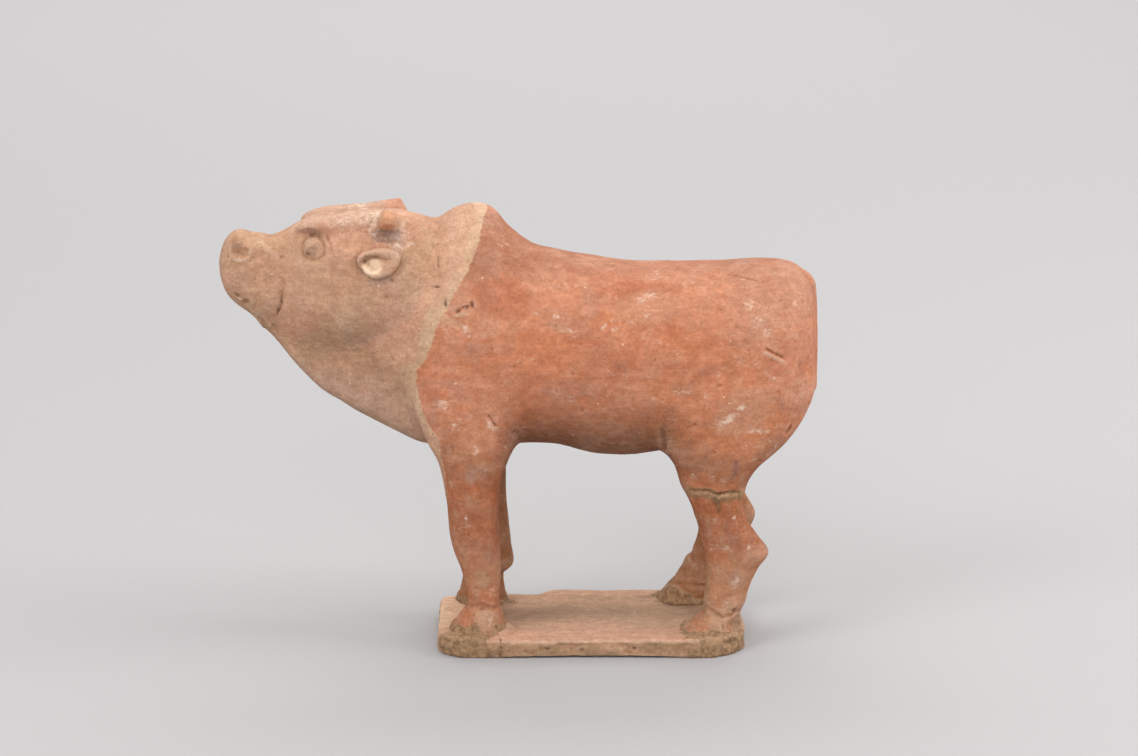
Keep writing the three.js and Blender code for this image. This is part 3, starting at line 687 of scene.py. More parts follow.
def face_features(points):
    """Height of the nostrils, the fold behind the muzzle, the eye grooves and the jaw."""
    x, y, z = points.T
    w = np.abs(y)
    u = (x - NOSTRIL["x"]) / NOSTRIL["half_x"]
    v = (z - NOSTRIL["z"]) / NOSTRIL["half_z"]
    power = NOSTRIL["power"]
    ring = (np.abs(u) ** power + np.abs(v) ** power) ** (1 / power)
    flank = fade(3, 6, w)
    out = -flank * NOSTRIL["depth"] * fade(1.05, 0.2, ring) * fade(1.0, -0.35, v)
    out = out + flank * NOSTRIL["rim"] * np.exp(-((ring - 1.13) / 0.15) ** 2) * fade(0.7, -0.4, v)

    d, along, side = stroke(x, z, CREASE)
    front = np.where(side < 0, 1, 0)
    swell = np.exp(-((d - 6.0) / 3.5) ** 2) - 0.9 * np.exp(-(d / 3.0) ** 2)
    out = out + fade(4, 8, w) * front * 0.5 * swell * fade(0.1, 0.8, along)

    around = np.hypot(x - EYE_DISC["x"], z - EYE_DISC["z"])
    angle = np.arctan2(z - EYE_DISC["z"], x - EYE_DISC["x"])
    behind = 0.35 + 0.65 * fade(-0.3, 0.8, np.cos(angle + 0.5))
    groove = np.exp(-((around - EYE_DISC["groove"]) / EYE_DISC["half"]) ** 2)
    out = out - fade(8, 12, w) * EYE_DISC["depth"] * groove * behind

    i = close_to(x, z, JAW, 26)
    d, along, side = stroke(x[i], z[i], JAW)
    inside = np.where(side < 0, d, -d)
    cheek = 1.1 * fade(-2, 9, inside) * fade(26, 9, inside) - 0.3 * np.exp(-((inside + 0.5) / 3.0) ** 2)
    out[i] += fade(5, 10, w[i]) * cheek * fade(0, 0.15, along) * fade(1, 0.75, along)
    return out


def soil_at(points):
    """Share of sandy soil on the ox, which climbs the hooves in places."""
    x, y, z = points.T
    left = np.where(x < 0, SOIL_TOP["fore_left"], SOIL_TOP["hind_left"])
    right = np.where(x < 0, SOIL_TOP["fore_right"], SOIL_TOP["hind_right"] + 6.0 * fade(50, 34, x))
    top = np.where(y < 0, left, right) + 2.4 * fractal(points, 7, 4, 81)
    return fade(1.0, -1.0, z - top)


def grit(points, seed):
    """Height of sandy grains with holes between them."""
    lumps = 0.45 * fractal(points, 4.5, 3, seed) + 0.15 * noise(points, 1.1, seed + 4)
    return lumps - 0.6 * flecks(points, 3.4, 0.4, seed + 5) - 0.4 * flecks(points, 2.0, 0.3, seed + 15)


def ox_relief(points, _normals):
    """Height above the moulded form, in mm: hand-made unevenness, modelled lines, pits and soil."""
    z = points[:, 2]
    uneven = 0.30 * fractal(points, 26, 2, 3) + 0.11 * fractal(points, 8, 2, 11)
    uneven = uneven + 0.045 * fractal(points, 2.6, 2, 19)
    wiped = fade(70, 90, z) * 0.04 * noise(points, (16, 7, 1.1), 23)
    pores = 0.35 * flecks(points, 9, 0.10, 61) + 0.25 * flecks(points, 4.5, 0.10, 77)
    chips = 0.2 * flecks(points, 14, 0.4, 91)
    out = uneven + wiped + drawn_features(points) + face_features(points) - pores - chips
    return out + soil_at(points) * (0.5 + grit(points, 71))


# Soil patches on the plinth, seen from above: x, y, radius along x and y, amount
CRUSTS = [
    (-50.5, -35, 14, 9, 1),
    (52, -33, 13.5, 9, 1),
    (58, -24, 6, 10, 0.8),
    (38, 25.5, 12.5, 8, 0.9),
    (-38, 20, 6, 4, 0.7),
]
# Clay pressed against the feet: x, y, radius along x and y, height
FILLETS = [
    (-37.5, -22, 6, 10, 2.6),
    (-55, -22, 6.5, 9, 1.2),
    (41, -18, 9, 12, 1.8),
    (57, -20, 6, 8, 1.6),
    (38, 24, 12, 9, 2),
    (-46, 24, 12, 9, 1.2),
]


def patch(x, y, row):
    return np.sqrt(((x - row[0]) / row[2]) ** 2 + ((y - row[1]) / row[3]) ** 2)


def crust_at(points):
    """Share of sandy soil on the plinth."""
    x, y, _ = points.T
    ragged = 0.40 * fractal(points, 7, 4, 151)
    out = np.zeros(len(x))
    for row in CRUSTS:
        out = np.maximum(out, row[4] * fade(1.15, 0.75, patch(x, y, row) + ragged))
    return out


def plinth_relief(points, normals):
    """Height above the plinth's plain form, in mm: pressed hollows, a crumbled edge, fillets and soil."""
    x, y, _ = points.T
    upper = fade(0.3, 0.8, normals[:, 2])
    edge = 1 - np.abs(normals[:, 2])
    out = upper * (0.5 * fractal(points, (34, 16, 30), 2, 103) - 0.3)
    out = out + upper * 0.12 * noise(points, (22, 2.6, 20), 107)
    out = out - upper * 0.6 * np.exp(-((y - 4) / 12) ** 2) * fade(60, 30, np.abs(x))
    for row in FILLETS:
        out = out + upper * row[4] * fade(1.1, 0.2, patch(x, y, row) + 0.15 * noise(points, 5, 105))
    out = out + edge * (0.5 * fractal(points, (8, 8, 4), 3, 109) - 0.4)
    out = out - edge * 0.8 * flecks(points, 7, 0.5, 113)
    out = out + 0.05 * fractal(points, 2.6, 2, 127) - 0.4 * flecks(points, 6, 0.2, 129)
    soil = crust_at(points)
    out = out + soil * (0.5 + 0.6 * upper + grit(points, 131))
    crack = np.exp(-((x + 37.8 + 0.8 * noise(points, 3, 149)) / 0.35) ** 2) * fade(-33, -36, y)
    arch = fade(0.3, 0.8, -normals[:, 2]) * fade(-20, -36, y) * fade(46, 20, np.abs(x + 2))
    return out - 0.8 * crack - 0.8 * arch


def grid_of(low, high, cell):
    return np.arange(low, high + cell, cell)


def mesh_of(name, points, quads):
    mesh = bpy.data.meshes.new(name)
    mesh.vertices.add(len(points))
    mesh.vertices.foreach_set("co", (points * MM).ravel())
    mesh.loops.add(quads.size)
    mesh.loops.foreach_set("vertex_index", quads.ravel())
    mesh.polygons.add(len(quads))
    mesh.polygons.foreach_set("loop_start", np.arange(0, quads.size, 4))
    mesh.update(calc_edges=True)
    return mesh


def thinned(mesh, triangles):
    """The mesh with fewer triangles, kept small where the surface is busy."""
    whole = bpy.data.objects.new("whole", mesh)
    bpy.context.collection.objects.link(whole)
    thin = whole.modifiers.new("thin", "DECIMATE")
    thin.ratio = min(1.0, triangles / (2 * len(mesh.polygons)))
    graph = bpy.context.evaluated_depsgraph_get()
    out = bpy.data.meshes.new_from_object(whole.evaluated_get(graph))
    out.name = mesh.name
    bpy.data.objects.remove(whole)
    bpy.data.meshes.remove(mesh)
    return out


def vectors_of(mesh, name, kind):
    out = np.empty(len(mesh.vertices) * 3)
    getattr(mesh, name).foreach_get(kind, out)
    return out.reshape(-1, 3)


def built(name, field, relief, low, high, cell, triangles):
    """One piece: the form's surface with its relief, inside the solid's box."""
    points, quads = nets(field, *(grid_of(a, b, cell) for a, b in zip(low, high)))
    points, _ = settle(field, points, cell)
    points, quads = halve(points, quads)
    points, _ = settle(field, points, cell)
    points, normals = settle(field, points, cell)
    points = points + normals * relief(points, normals)[:, None]
    box = [np.array(c) / MM for c in CAD_BOX]
    points = np.clip(points, box[0] + BOX_ROOM, box[1] - BOX_ROOM)
    mesh = thinned(mesh_of(name, points, quads), triangles)
    mesh.polygons.foreach_set("use_smooth", np.ones(len(mesh.polygons), bool))
    piece = bpy.data.objects.new(name, mesh)
    bpy.context.collection.objects.link(piece)
    return piece


def hollowness(mesh):
    """How sunk each point lies among its neighbours: above 0 in dips, below 0 on ridges."""
    points = vectors_of(mesh, "vertices", "co") / MM
    normals = vectors_of(mesh, "vertex_normals", "vector")
    ends = np.empty(len(mesh.edges) * 2, np.int64)
    mesh.edges.foreach_get("vertices", ends)
    a, b = ends.reshape(-1, 2).T
    n = len(points)
    count = np.bincount(a, minlength=n) + np.bincount(b, minlength=n)

    def spread(values):
        return (np.bincount(a, values[b], n) + np.bincount(b, values[a], n)) / count

    smooth = points.copy()
    for _ in range(4):
        smooth = np.stack([spread(smooth[:, m]) for m in range(3)], 1)
    out = ((smooth - points) * normals).sum(1)
    return (out + spread(out)) / 2


def rgb(red, green, blue):
    """Linear colour from a 0 to 255 screen colour."""
    c = np.array([red, green, blue]) / 255
    return np.where(c <= 0.04045, c / 12.92, ((c + 0.055) / 1.055) ** 2.4)


def lay(colour, amount, tint):
    return colour + (tint - colour) * np.clip(amount, 0, 1)[:, None]


def layered(colour, layers):
    """The colour under layers of amount and tint, the last on top."""
    for amount, tint in layers:
        colour = lay(colour, amount, tint)
    return colour


def store(mesh, name, values):
    if values.ndim == 2:
        layer = mesh.attributes.new(name, "FLOAT_COLOR", "POINT")
        full = np.concatenate([np.clip(values, 0, 1), np.ones((len(values), 1))], 1)
        layer.data.foreach_set("color", full.ravel())
    else:
        layer = mesh.attributes.new(name, "FLOAT", "POINT")
        layer.data.foreach_set("value", values)


# Depth of a dip, in mm, that its stain and painted shade fill
OX_DIP = 0.16
PLINTH_DIP = 0.18

# Fired clay, slips, stains and soils, and colours for painted shade, as screen colours in plain light
CREAM = rgb(180, 138, 111)
CREAM_PINK = rgb(184, 134, 110)
CREAM_TAN = rgb(172, 134, 104)
NECK = rgb(194, 149, 122)
MUZZLE = rgb(174, 134, 106)
JAW_SHADE = rgb(168, 134, 107)
DEWLAP_GREY = rgb(171, 138, 118)
FOREHEAD = rgb(184, 152, 132)
BAND = rgb(190, 157, 127)
RED = rgb(184, 118, 87)
RED_TOP_SHADE = rgb(156, 103, 78)
RED_LOW = rgb(150, 93, 61)
RED_DEEP = rgb(162, 92, 64)
RED_PALE = rgb(184, 132, 105)
RED_ORANGE = rgb(190, 119, 82)
ORANGE = rgb(172, 102, 68)
LIME = rgb(208, 186, 168)
FILM = rgb(152, 126, 114)
KNOB = rgb(194, 142, 109)
FILM_PALE = rgb(166, 142, 130)
MAUVE = rgb(130, 90, 78)
STAIN_AND_SHADE = rgb(118, 82, 60)
UMBER = rgb(72, 50, 34)
CLAY = rgb(158, 124, 95)
SOIL_LIGHT = rgb(150, 119, 89)
SOIL_DARK_AND_SHADE = rgb(94, 70, 48)
TAN = rgb(174, 140, 114)
CREAM_TOP = rgb(206, 170, 141)
EAR_FLOOR = rgb(232, 202, 172)
PINK = rgb(192, 147, 121)
OLIVE = rgb(140, 111, 88)
FAR_LEG_SHADE = rgb(146, 97, 62)
LEG = rgb(152, 90, 58)
SHANK = rgb(168, 114, 84)

# Painted lines: side, colour, amount, half width, places
SMEARS = [
    # Painted shade in the slit of the fold behind the muzzle
    (LEFT, UMBER, 0.35, 0.28, CREASE[2:]),
    # Painted highlight along the jaw's lower edge
    (BOTH, FOREHEAD, 0.4, 2.4, JAW[1:-1]),
    # Painted shade along the fold behind the muzzle
    (BOTH, STAIN_AND_SHADE, 0.2, 1.4, CREASE[2:]),
    (LEFT, SOIL_LIGHT, 0.85, 2.2, LEG_ROLL),
    (LEFT, SOIL_DARK_AND_SHADE, 0.6, 1.3, [(50.6, 66.5), (52, 64.5), (52.4, 61.5)]),
    (LEFT, CLAY, 0.5, 1.1, [(61.4, 69), (61.8, 76)]),
    (LEFT, CLAY, 0.6, 1.3, [(48.6, 33), (47.9, 24), (47.6, 13)]),
    # Painted shade in the groove above the roll on the near hind leg
    (LEFT, SOIL_DARK_AND_SHADE, 0.8, 0.5, LEG_CUT),
    (LEFT, LIME, 0.25, 0.8, [(69.4, 129), (74.2, 126.4), (79, 123.6)]),
    (LEFT, LIME, 0.3, 0.7, [(-43.4, 99.6), (-41.6, 97.2), (-39, 95.8)]),
    (LEFT, LIME, 0.5, 0.5, [(66, 96), (72, 94.6), (77.5, 97)]),
    (LEFT, STAIN_AND_SHADE, 0.25, 0.9, [(47, 19.2), (50.6, 17), (54.7, 14.9), (58, 15.8), (62.5, 18.4)]),
    (LEFT, STAIN_AND_SHADE, 0.25, 0.9, [(-52.5, 18.2), (-49.4, 19.6), (-45.2, 19.9), (-41, 18.3)]),
]

# Patches: side, colour, amount, then x, z, half length, half width, turn
PATCHES = [
    (LEFT, RED_ORANGE, 0.6, 10, 141.5, 10, 3, 4),
    (LEFT, RED_ORANGE, 0.4, 40, 132, 13, 6, -10),
    (LEFT, RED_ORANGE, 0.4, -20, 128, 14, 10, 0),
    (LEFT, RED_DEEP, 0.5, -36, 150, 12, 8, -20),
    (LEFT, RED_DEEP, 0.5, 21, 152, 16, 4, 0),
    (LEFT, FILM, 0.18, -56, 112, 9, 3, -35),
    (LEFT, FILM, 0.18, -12, 112, 9, 5, 0),
    (LEFT, FILM, 0.18, 38, 113, 6, 3.5, 0),
    (LEFT, FILM, 0.18, 85, 110, 4, 9, 0),
    (LEFT, FILM, 0.18, -10, 140, 7, 3.5, 0),
    (LEFT, FILM, 0.18, 68, 140, 5, 5, 0),
    (LEFT, RED_PALE, 0.6, 22, 146, 14, 6, 10),
    (LEFT, RED_PALE, 0.5, 66, 142, 8, 12, -20),
    (LEFT, RED_PALE, 0.8, 62, 103, 14, 9, 30),
    (LEFT, RED_PALE, 0.4, -48, 92, 9, 7, 0),
    # Painted shade under the belly, on the top of the near hind leg
    (LEFT, STAIN_AND_SHADE, 0.35, 50, 80, 14, 7, 0),
    (LEFT, MAUVE, 0.85, 58.8, 79.5, 1.4, 4.4, -8),
    # Painted shade in the creases where the legs meet the belly
    (LEFT, STAIN_AND_SHADE, 0.55, 29.6, 91.5, 2.2, 5.5, 0),
    (LEFT, MAUVE, 0.3, -31, 94, 3.5, 4, 0),
    (LEFT, FILM, 0.45, -50, 76.5, 2.2, 3.6, 0),
    (LEFT, FILM, 0.4, 59.5, 31, 2.5, 4, 0),
    (LEFT, CLAY, 0.7, 52.6, 11, 2.4, 4, 0),
    (LEFT, CLAY, 0.65, -45.2, 32, 2.6, 4.4, 20),
    (LEFT, TAN, 0.6, -44.5, 12.5, 6, 5.4, 0),
    (LEFT, ORANGE, 0.5, -52, 14.4, 3.4, 4, 30),
    (LEFT, TAN, 0.6, 50, 12, 9, 6, 0),
    (LEFT, ORANGE, 0.45, 45.4, 12.8, 4, 3.2, 0),
    (LEFT, ORANGE, 0.4, -46, 22.5, 6, 2, 0),
    (LEFT, ORANGE, 0.5, 46, 70, 4, 7, 0),
    # Nostril: painted shade in its top and inside it, a painted highlight on its lower rim and on the
    # muzzle's top above it
    (BOTH, MAUVE, 0.35, -146, 170.4, 3.2, 1.6, 10),
    (BOTH, STAIN_AND_SHADE, 0.4, -146.2, 167.6, 3, 2, 20),
    (BOTH, STAIN_AND_SHADE, 0.45, -142.4, 167.4, 1.5, 0.8, -20),
    (BOTH, FOREHEAD, 0.5, -145.4, 163.2, 3.4, 0.7, 0),
    (BOTH, ORANGE, 0.35, -147, 172.6, 1.8, 1.3, 0),
    (BOTH, MAUVE, 0.25, -142, 171, 4, 1.6, 0),
    # Mouth: painted shade in its two hollows and a painted highlight on the lip between them
    (BOTH, UMBER, 0.55, -146.8, 148.1, 1.4, 0.6, -20),
    (BOTH, STAIN_AND_SHADE, 0.45, -143, 145.6, 1.7, 1.1, 15),
    (BOTH, FOREHEAD, 0.6, -145.6, 146.4, 1.2, 0.6, -40),
    # Painted shade in the hollow under the brow, above the eye
    (BOTH, MAUVE, 0.55, -115.4, 175.4, 4.4, 1.6, -4),
    (BOTH, MAUVE, 0.4, -114.6, 168, 2.4, 2.3, 0),
    (LEFT, UMBER, 0.6, -116.4, 166.6, 0.7, 0.5, 0),
    (LEFT, ORANGE, 0.35, -109.5, 177.8, 4, 2.2, 0),
    (LEFT, CREAM_TOP, 0.8, -89.2, 180.6, 1.7, 3.4, -10),
    (BOTH, BAND, 0.3, -137, 171, 10, 2.6, -4),
    (BOTH, CREAM_TAN, 0.4, -143, 173, 7, 3, 0),
    (LEFT, KNOB, 0.9, -83.6, 180.6, 3.6, 4.4, 0),
    (RIGHT, CREAM_PINK, 0.9, -80, 182, 7, 4, 0),
    # Painted shade on the underside of the near horn stub
    (LEFT, ORANGE, 0.45, -83.6, 178.2, 3.2, 1.4, 0),
    (LEFT, FILM, 0.9, -84.5, 174, 6.5, 2.6, 0),
    (LEFT, STAIN_AND_SHADE, 0.35, -87, 173, 4.4, 1.6, 15),
    (LEFT, FILM_PALE, 0.5, -79, 171.5, 3, 4, 0),
    # Painted shadow under the near horn stub
    (LEFT, STAIN_AND_SHADE, 0.4, -84, 176.6, 3.2, 0.8, 0),
    (LEFT, STAIN_AND_SHADE, 0.45, -82.5, 171.6, 3, 1.3, 0),
    (LEFT, STAIN_AND_SHADE, 0.45, -94.6, 164, 0.8, 1.4, 0),
    # Orange clay on the ear's lower back rim, darker there as painted shade where the rim faces down
    (LEFT, ORANGE, 0.35, -81, 162, 1.6, 2.4, -40),
    (LEFT, FILM_PALE, 0.5, -87.5, 155.8, 5, 1.4, 5),
    (LEFT, CREAM_PINK, 0.5, -74, 174, 4, 5, 0),
    (LEFT, NECK, 0.6, -98, 171, 8, 5, 0),
    (BOTH, NECK, 0.6, -81, 128, 9, 7, 30),
    (LEFT, EAR_FLOOR, 1, -89.6, 162.2, 4.6, 3, 20),
    # Painted shade under the ear's upper rim, inside the hollow
    (LEFT, STAIN_AND_SHADE, 0.5, -90, 167, 3.6, 1, 0),
    (LEFT, BAND, 0.45, -58, 140.5, 6, 2, -20),
    (LEFT, BAND, 0.6, -53.4, 143.4, 3.4, 0.8, 8),
]

# Whitish lime and slip that the shader breaks into flakes, on the left:
# x, z, half length, half width, turn, amount
FLAKES = [
    (-88.5, 182, 2, 2.6, -25, 1), (-94, 180.5, 4, 2.6, 0, 0.8), (-101, 179.5, 5, 3, 0, 0.7),
    (-107, 178.5, 4, 2, 0, 0.6), (-77.6, 176, 1.6, 4, 10, 0.6), (-75, 171.5, 3, 3, 0, 0.6),
    (-80.5, 170.5, 4, 1.4, -20, 0.8), (-90, 176.5, 2.4, 3, 20, 0.8), (-86.5, 172, 3.4, 1.4, 0, 0.6),
    (-76.5, 163, 1.6, 3.4, 10, 0.5), (-91.8, 160, 2, 0.9, -30, 0.8), (-61, 106, 3.4, 2.2, 0, 0.8),
    (-56, 98, 2.5, 3, 0, 0.6), (-52, 100.5, 3.4, 2.2, 20, 0.6), (-47.8, 88, 1.7, 2.6, 0, 0.7),
    (-41.5, 97.5, 2.8, 1.6, -30, 0.7), (-43.5, 50.6, 0.9, 0.7, 0, 1), (-52, 58, 0.8, 2.6, 0, 0.7),
    (-59.5, 136, 2.4, 3.4, 0, 0.6), (-51, 136.5, 1.6, 2.6, 0, 0.8), (-52.3, 138.6, 1.2, 0.9, 0, 1),
    (-22.9, 144, 0.9, 0.7, 0, 1), (-14.7, 143, 1.8, 1.2, -30, 0.9), (-9.8, 137.4, 3.2, 1.4, 0, 0.8),
    (4.9, 138.8, 2.2, 1.2, 0, 0.8), (9, 138, 1.8, 1.2, 0, 0.8), (22, 149.6, 5.5, 1.8, 18, 0.7),
    (22.4, 143.4, 1.4, 1.2, 0, 0.8), (26.6, 157, 3.4, 1.7, 0, 0.6), (37, 112, 4, 2.2, 0, 0.6),
    (46.6, 110.6, 1.8, 1.3, 0, 0.7), (52.5, 98.5, 2.5, 1, 0, 0.8), (55.5, 100.4, 5.4, 2, 30, 1),
    (61.2, 105.5, 2.8, 1.6, 45, 1), (65.8, 95, 5, 0.8, 3, 0.7), (55.4, 135.5, 3.8, 0.9, 5, 0.6),
    (64, 147.5, 2.2, 2, 0, 0.8), (67.5, 141, 2.6, 4.4, -35, 0.6), (71.5, 137, 3, 2.6, 0, 0.7),
    (84.2, 148.2, 1.8, 2.6, -60, 0.7), (74.8, 118, 2.6, 1, 0, 0.7), (41.3, 76, 1.8, 1.3, 0, 0.7),
    (66, 83, 3, 1.3, 20, 0.7), (51, 57, 2.2, 1.4, 0, 0.8), (58.6, 58.5, 0.9, 1.3, 45, 0.9),
    (64.4, 45, 0.9, 2.4, -60, 0.8), (55.2, 45, 4.4, 1.2, -20, 0.6), (49.5, 44.5, 2, 2.4, 0, 0.6),
    (59.6, 30, 2.2, 2.8, 0, 0.7), (-43, 14, 3, 4, 0, 0.5),
]


def ragged_spot(points, mark):
    """A spot with an uneven outline."""
    x, _, z = points.T
    return fade(0.25, 0.75, spot(x, z, mark) + 0.3 * noise(points, 2.4, 401))


def add_marks(points, colour):
    x, y, z = points.T
    for side, tint, amount, *mark in PATCHES:
        i = close_to(x, z, [mark[:2]], 1.8 * max(mark[2:4]))
        colour[i] = lay(colour[i], on_side(y[i], side) * amount * ragged_spot(points[i], mark), tint)
    for side, tint, amount, half, line in SMEARS:
        i = close_to(x, z, line, 2 * half)
        d, _, _ = stroke(x[i], z[i], line)
        share = fade(1.3, 0.6, d / half + 0.3 * noise(points[i], 1.6, 403))
        colour[i] = lay(colour[i], on_side(y[i], side) * amount * share, tint)


def head_colour(points, edge):
    """Cream slip of the head and neck, with painted shade under the jaw and the muzzle; edge is the distance
    before the red coat.
    """
    x, _, z = points.T
    warp = 5 * np.stack([noise(points, 14, 241 + k) for k in range(3)], 1)
    cloud = fractal(points + warp, 17, 3, 201)
    middle = fractal(points + warp, 7, 3, 211)
    out = layered(np.tile(CREAM, (len(x), 1)), [
        (fade(-90, -72, x) * fade(100, 130, z), NECK),
        (fade(-128, -137, x), MUZZLE),
    ])
    # Painted shade inside the jaw line, where the cheek turns under
    i = close_to(x, z, JAW, 40)
    d, _, side = stroke(x[i], z[i], JAW)
    inside = np.where(side < 0, d, -d)
    out[i] = lay(out[i], fade(-2, 4, inside) * fade(26, 8, inside) * 0.8, JAW_SHADE)
    crown = fade(174.5, 180, z + 3 * middle) * fade(-82, -90, x)
    strip = fade(7.5, 1.5, edge + 3.0 * middle) * fade(84, 108, z)
    return layered(out, [
        (fade(124, 108, z) * fade(-66, -78, x) * 0.85, DEWLAP_GREY),
        # Painted shade under the muzzle, which faces down
        (fade(-134, -138, x) * fade(150, 142, z) * 0.6, JAW_SHADE),
        (fade(0.1, 0.9, cloud) * 0.6, CREAM_PINK),
        (fade(0.1, 0.9, -cloud) * 0.45, CREAM_TAN),
        (fade(0.35, 1.0, middle) * 0.35, NECK),
        (crown * 0.5, FOREHEAD),
        (fade(160, 176, z) * fade(-74, -62, x) * 0.6, CREAM),
        (strip * (0.75 + 0.3 * cloud), BAND),
    ])


def coat_colour(points):
    """Red earthenware of the body and legs, with painted shade on the back's and the rump's tops, on the
    lower flanks under the belly and on the legs' inner and far sides.
    """
    x, y, z = points.T
    warp = 6 * np.stack([noise(points, 18, 251 + k) for k in range(3)], 1)
    cloud = fractal(points + warp, (30, 24, 18), 3, 261)
    middle = fractal(points + warp, (11, 9, 8), 3, 263)
    streak = noise(points + warp, (30, 10, 2.6), 265)
    blotch = fractal(points + warp, (6, 6, 13), 3, 267)
    dust = fractal(points, (3, 3, 6), 3, 269)
    belly = fade(112, 86, z) * fade(-44, -30, x) * fade(46, 30, x)
    legs = fade(88, 66, z)
    inner = np.maximum(fade(15, 11, np.abs(y)), fade(0, 5, y))
    return layered(np.tile(RED, (len(x), 1)), [
        # Painted shade on the back's top, which the light from above makes too bright
        (fade(152, 162, z), RED_TOP_SHADE),
        (fade(112, 82, z) * 0.9, RED_LOW),
        (fade(0.1, 1.0, cloud) * 0.5, RED_ORANGE),
        (fade(0.1, 1.0, -cloud) * 0.5, RED_DEEP),
        (fade(0.2, 1.0, middle) * 0.45, RED_PALE),
        (fade(0.35, 1.1, -middle) * 0.35, MAUVE),
        (fade(0.2, 0.9, streak) * 0.25, RED_PALE),
        (fade(0.3, 1.0, -streak) * 0.2, RED_DEEP),
        # Painted shade on the lower flanks between the legs, under the belly
        (belly * 0.7, STAIN_AND_SHADE),
        (fade(136, 146, z) * fade(164, 154, z) * 0.35, RED_PALE),
        # Painted shade on the rump's top
        (fade(50, 70, x) * fade(138, 152, z) * 0.45, RED_TOP_SHADE),
        (legs * 0.85, LEG),
        (fade(50, 34, z) * 0.85, SHANK),
        (legs * fade(0.1, 0.9, blotch) * 0.5, ORANGE),
        (legs * fade(0.2, 1.0, -blotch) * 0.4, MAUVE),
        (fade(46, 30, z) * fade(20, 40, x) * 0.25, CREAM_TAN),
        (legs * fade(0.2, 0.9, dust) * 0.4, CLAY),
        # Painted shade on the far legs and on the legs' inner sides
        (legs * inner * 0.8, FAR_LEG_SHADE),
    ])


def paint_ox(mesh):
    points = vectors_of(mesh, "vertices", "co") / MM
    x, y, z = points.T
    dip = hollowness(mesh)
    edge = curve(BORDER, 1, np.clip(z, 80, 186)) - x
    edge = edge * 0.85 + 0.6 * noise(points, 6, 227) + 0.4 * noise(points, 2.2, 229)

    head = head_colour(points, edge)
    coat = coat_colour(points)
    for colour in (head, coat):
        # Ridges lighter: worn clay and a painted highlight
        colour[:] = lay(colour, np.clip(-dip / OX_DIP, 0, 1) * 0.22, LIME)
        add_marks(points, colour)
        # Dips darker: a soil stain and painted shade in the hollows, darkest in the pits
        colour[:] = layered(colour, [
            (np.clip(dip / OX_DIP, 0, 1) * 0.38, STAIN_AND_SHADE),
            (fade(OX_DIP, 0.40, dip) * 0.85, UMBER),
        ])

    flake = 0.42 * fade(0.3, 0.9, fractal(points, (9, 7, 5), 2, 271)) * fade(-2, 2, -edge)
    for *mark, amount in FLAKES:
        i = close_to(x, z, [mark[:2]], 1.8 * max(mark[2:4]))
        flake[i] = np.maximum(flake[i], on_side(y[i], LEFT) * amount * spot(x[i], z[i], mark))
    crown = fade(172, 178, z) * fade(-84, -90, x) * fade(-110, -100, x)
    flake = np.maximum(flake, crown * fade(-0.5, 0.6, fractal(points, 5, 2, 273)) * 0.75)
    store(mesh, "head_tint", head)
    store(mesh, "coat_tint", coat)
    store(mesh, "border", edge)
    store(mesh, "flake", flake)
    store(mesh, "soil", soil_at(points))


def paint_plinth(mesh):
    points = vectors_of(mesh, "vertices", "co") / MM
    normals = vectors_of(mesh, "vertex_normals", "vector")
    x, y, _ = points.T
    dip = hollowness(mesh)
    broad = fractal(points, (30, 12, 20), 3, 301)
    middle = fractal(points, (9, 6, 5), 3, 311)
    grain = noise(points, (26, 2.2, 20), 313)
    upper = fade(0.3, 0.8, normals[:, 2])
    edge = 1 - np.abs(normals[:, 2])
    shade = np.exp(-((y - 3 + 4 * broad) / 12) ** 2) * fade(-56, -40, x)
    colour = layered(np.tile(TAN, (len(x), 1)), [
        (fade(-0.4, 0.8, broad) * 0.5, PINK),
        (upper * shade * 0.9, OLIVE),
        (upper * fade(-40, -54, x) * fade(-28, -16, y) * 0.9, CREAM_TOP),
        (upper * fade(-19, -28, y) * (0.75 + 0.3 * middle), PINK),
        (upper * fade(0.2, 0.9, -grain) * 0.2, OLIVE),
        (edge * 0.85, CLAY),
        (edge * fade(-0.3, 0.5, middle) * 0.7, SOIL_LIGHT),
        (edge * fade(0.1, 0.8, -middle) * 0.35, PINK),
    ])
    for row in FILLETS:
        fresh = fade(1.1, 0.6, patch(x, y, row) + 0.2 * noise(points, 4, 317))
        colour = lay(colour, upper * fresh * 0.55, TAN)
    # Dips darker with a soil stain and painted shade; ridges lighter with worn clay and a painted highlight
    colour = layered(colour, [
        (np.clip(dip / PLINTH_DIP, 0, 1) * 0.5, STAIN_AND_SHADE),
        (fade(0.2, 0.5, dip) * 0.8, UMBER),
        (np.clip(-dip / 0.2, 0, 1) * 0.2, LIME),
    ])
    store(mesh, "tint", colour)
    store(mesh, "flake", 0.2 * fade(0.2, 0.8, middle))
    store(mesh, "soil", crust_at(points))


# Factors on the base colour where the shader's noises darken or lighten it
MOTTLE_DARK = (0.83, 0.80, 0.78)
GRAIN_DARK = (0.80, 0.78, 0.77)
FLECK_LIGHT = (1.16, 1.25, 1.22)
WIPE_LIGHT = (1.16, 1.19, 1.15)
WIPE_DARK = (0.86, 0.84, 0.84)
# Radius of a dot's full middle, as a share of its cell, and strength of the bump
DOT_MIDDLE = 0.06
BUMP_STRENGTH = 0.85


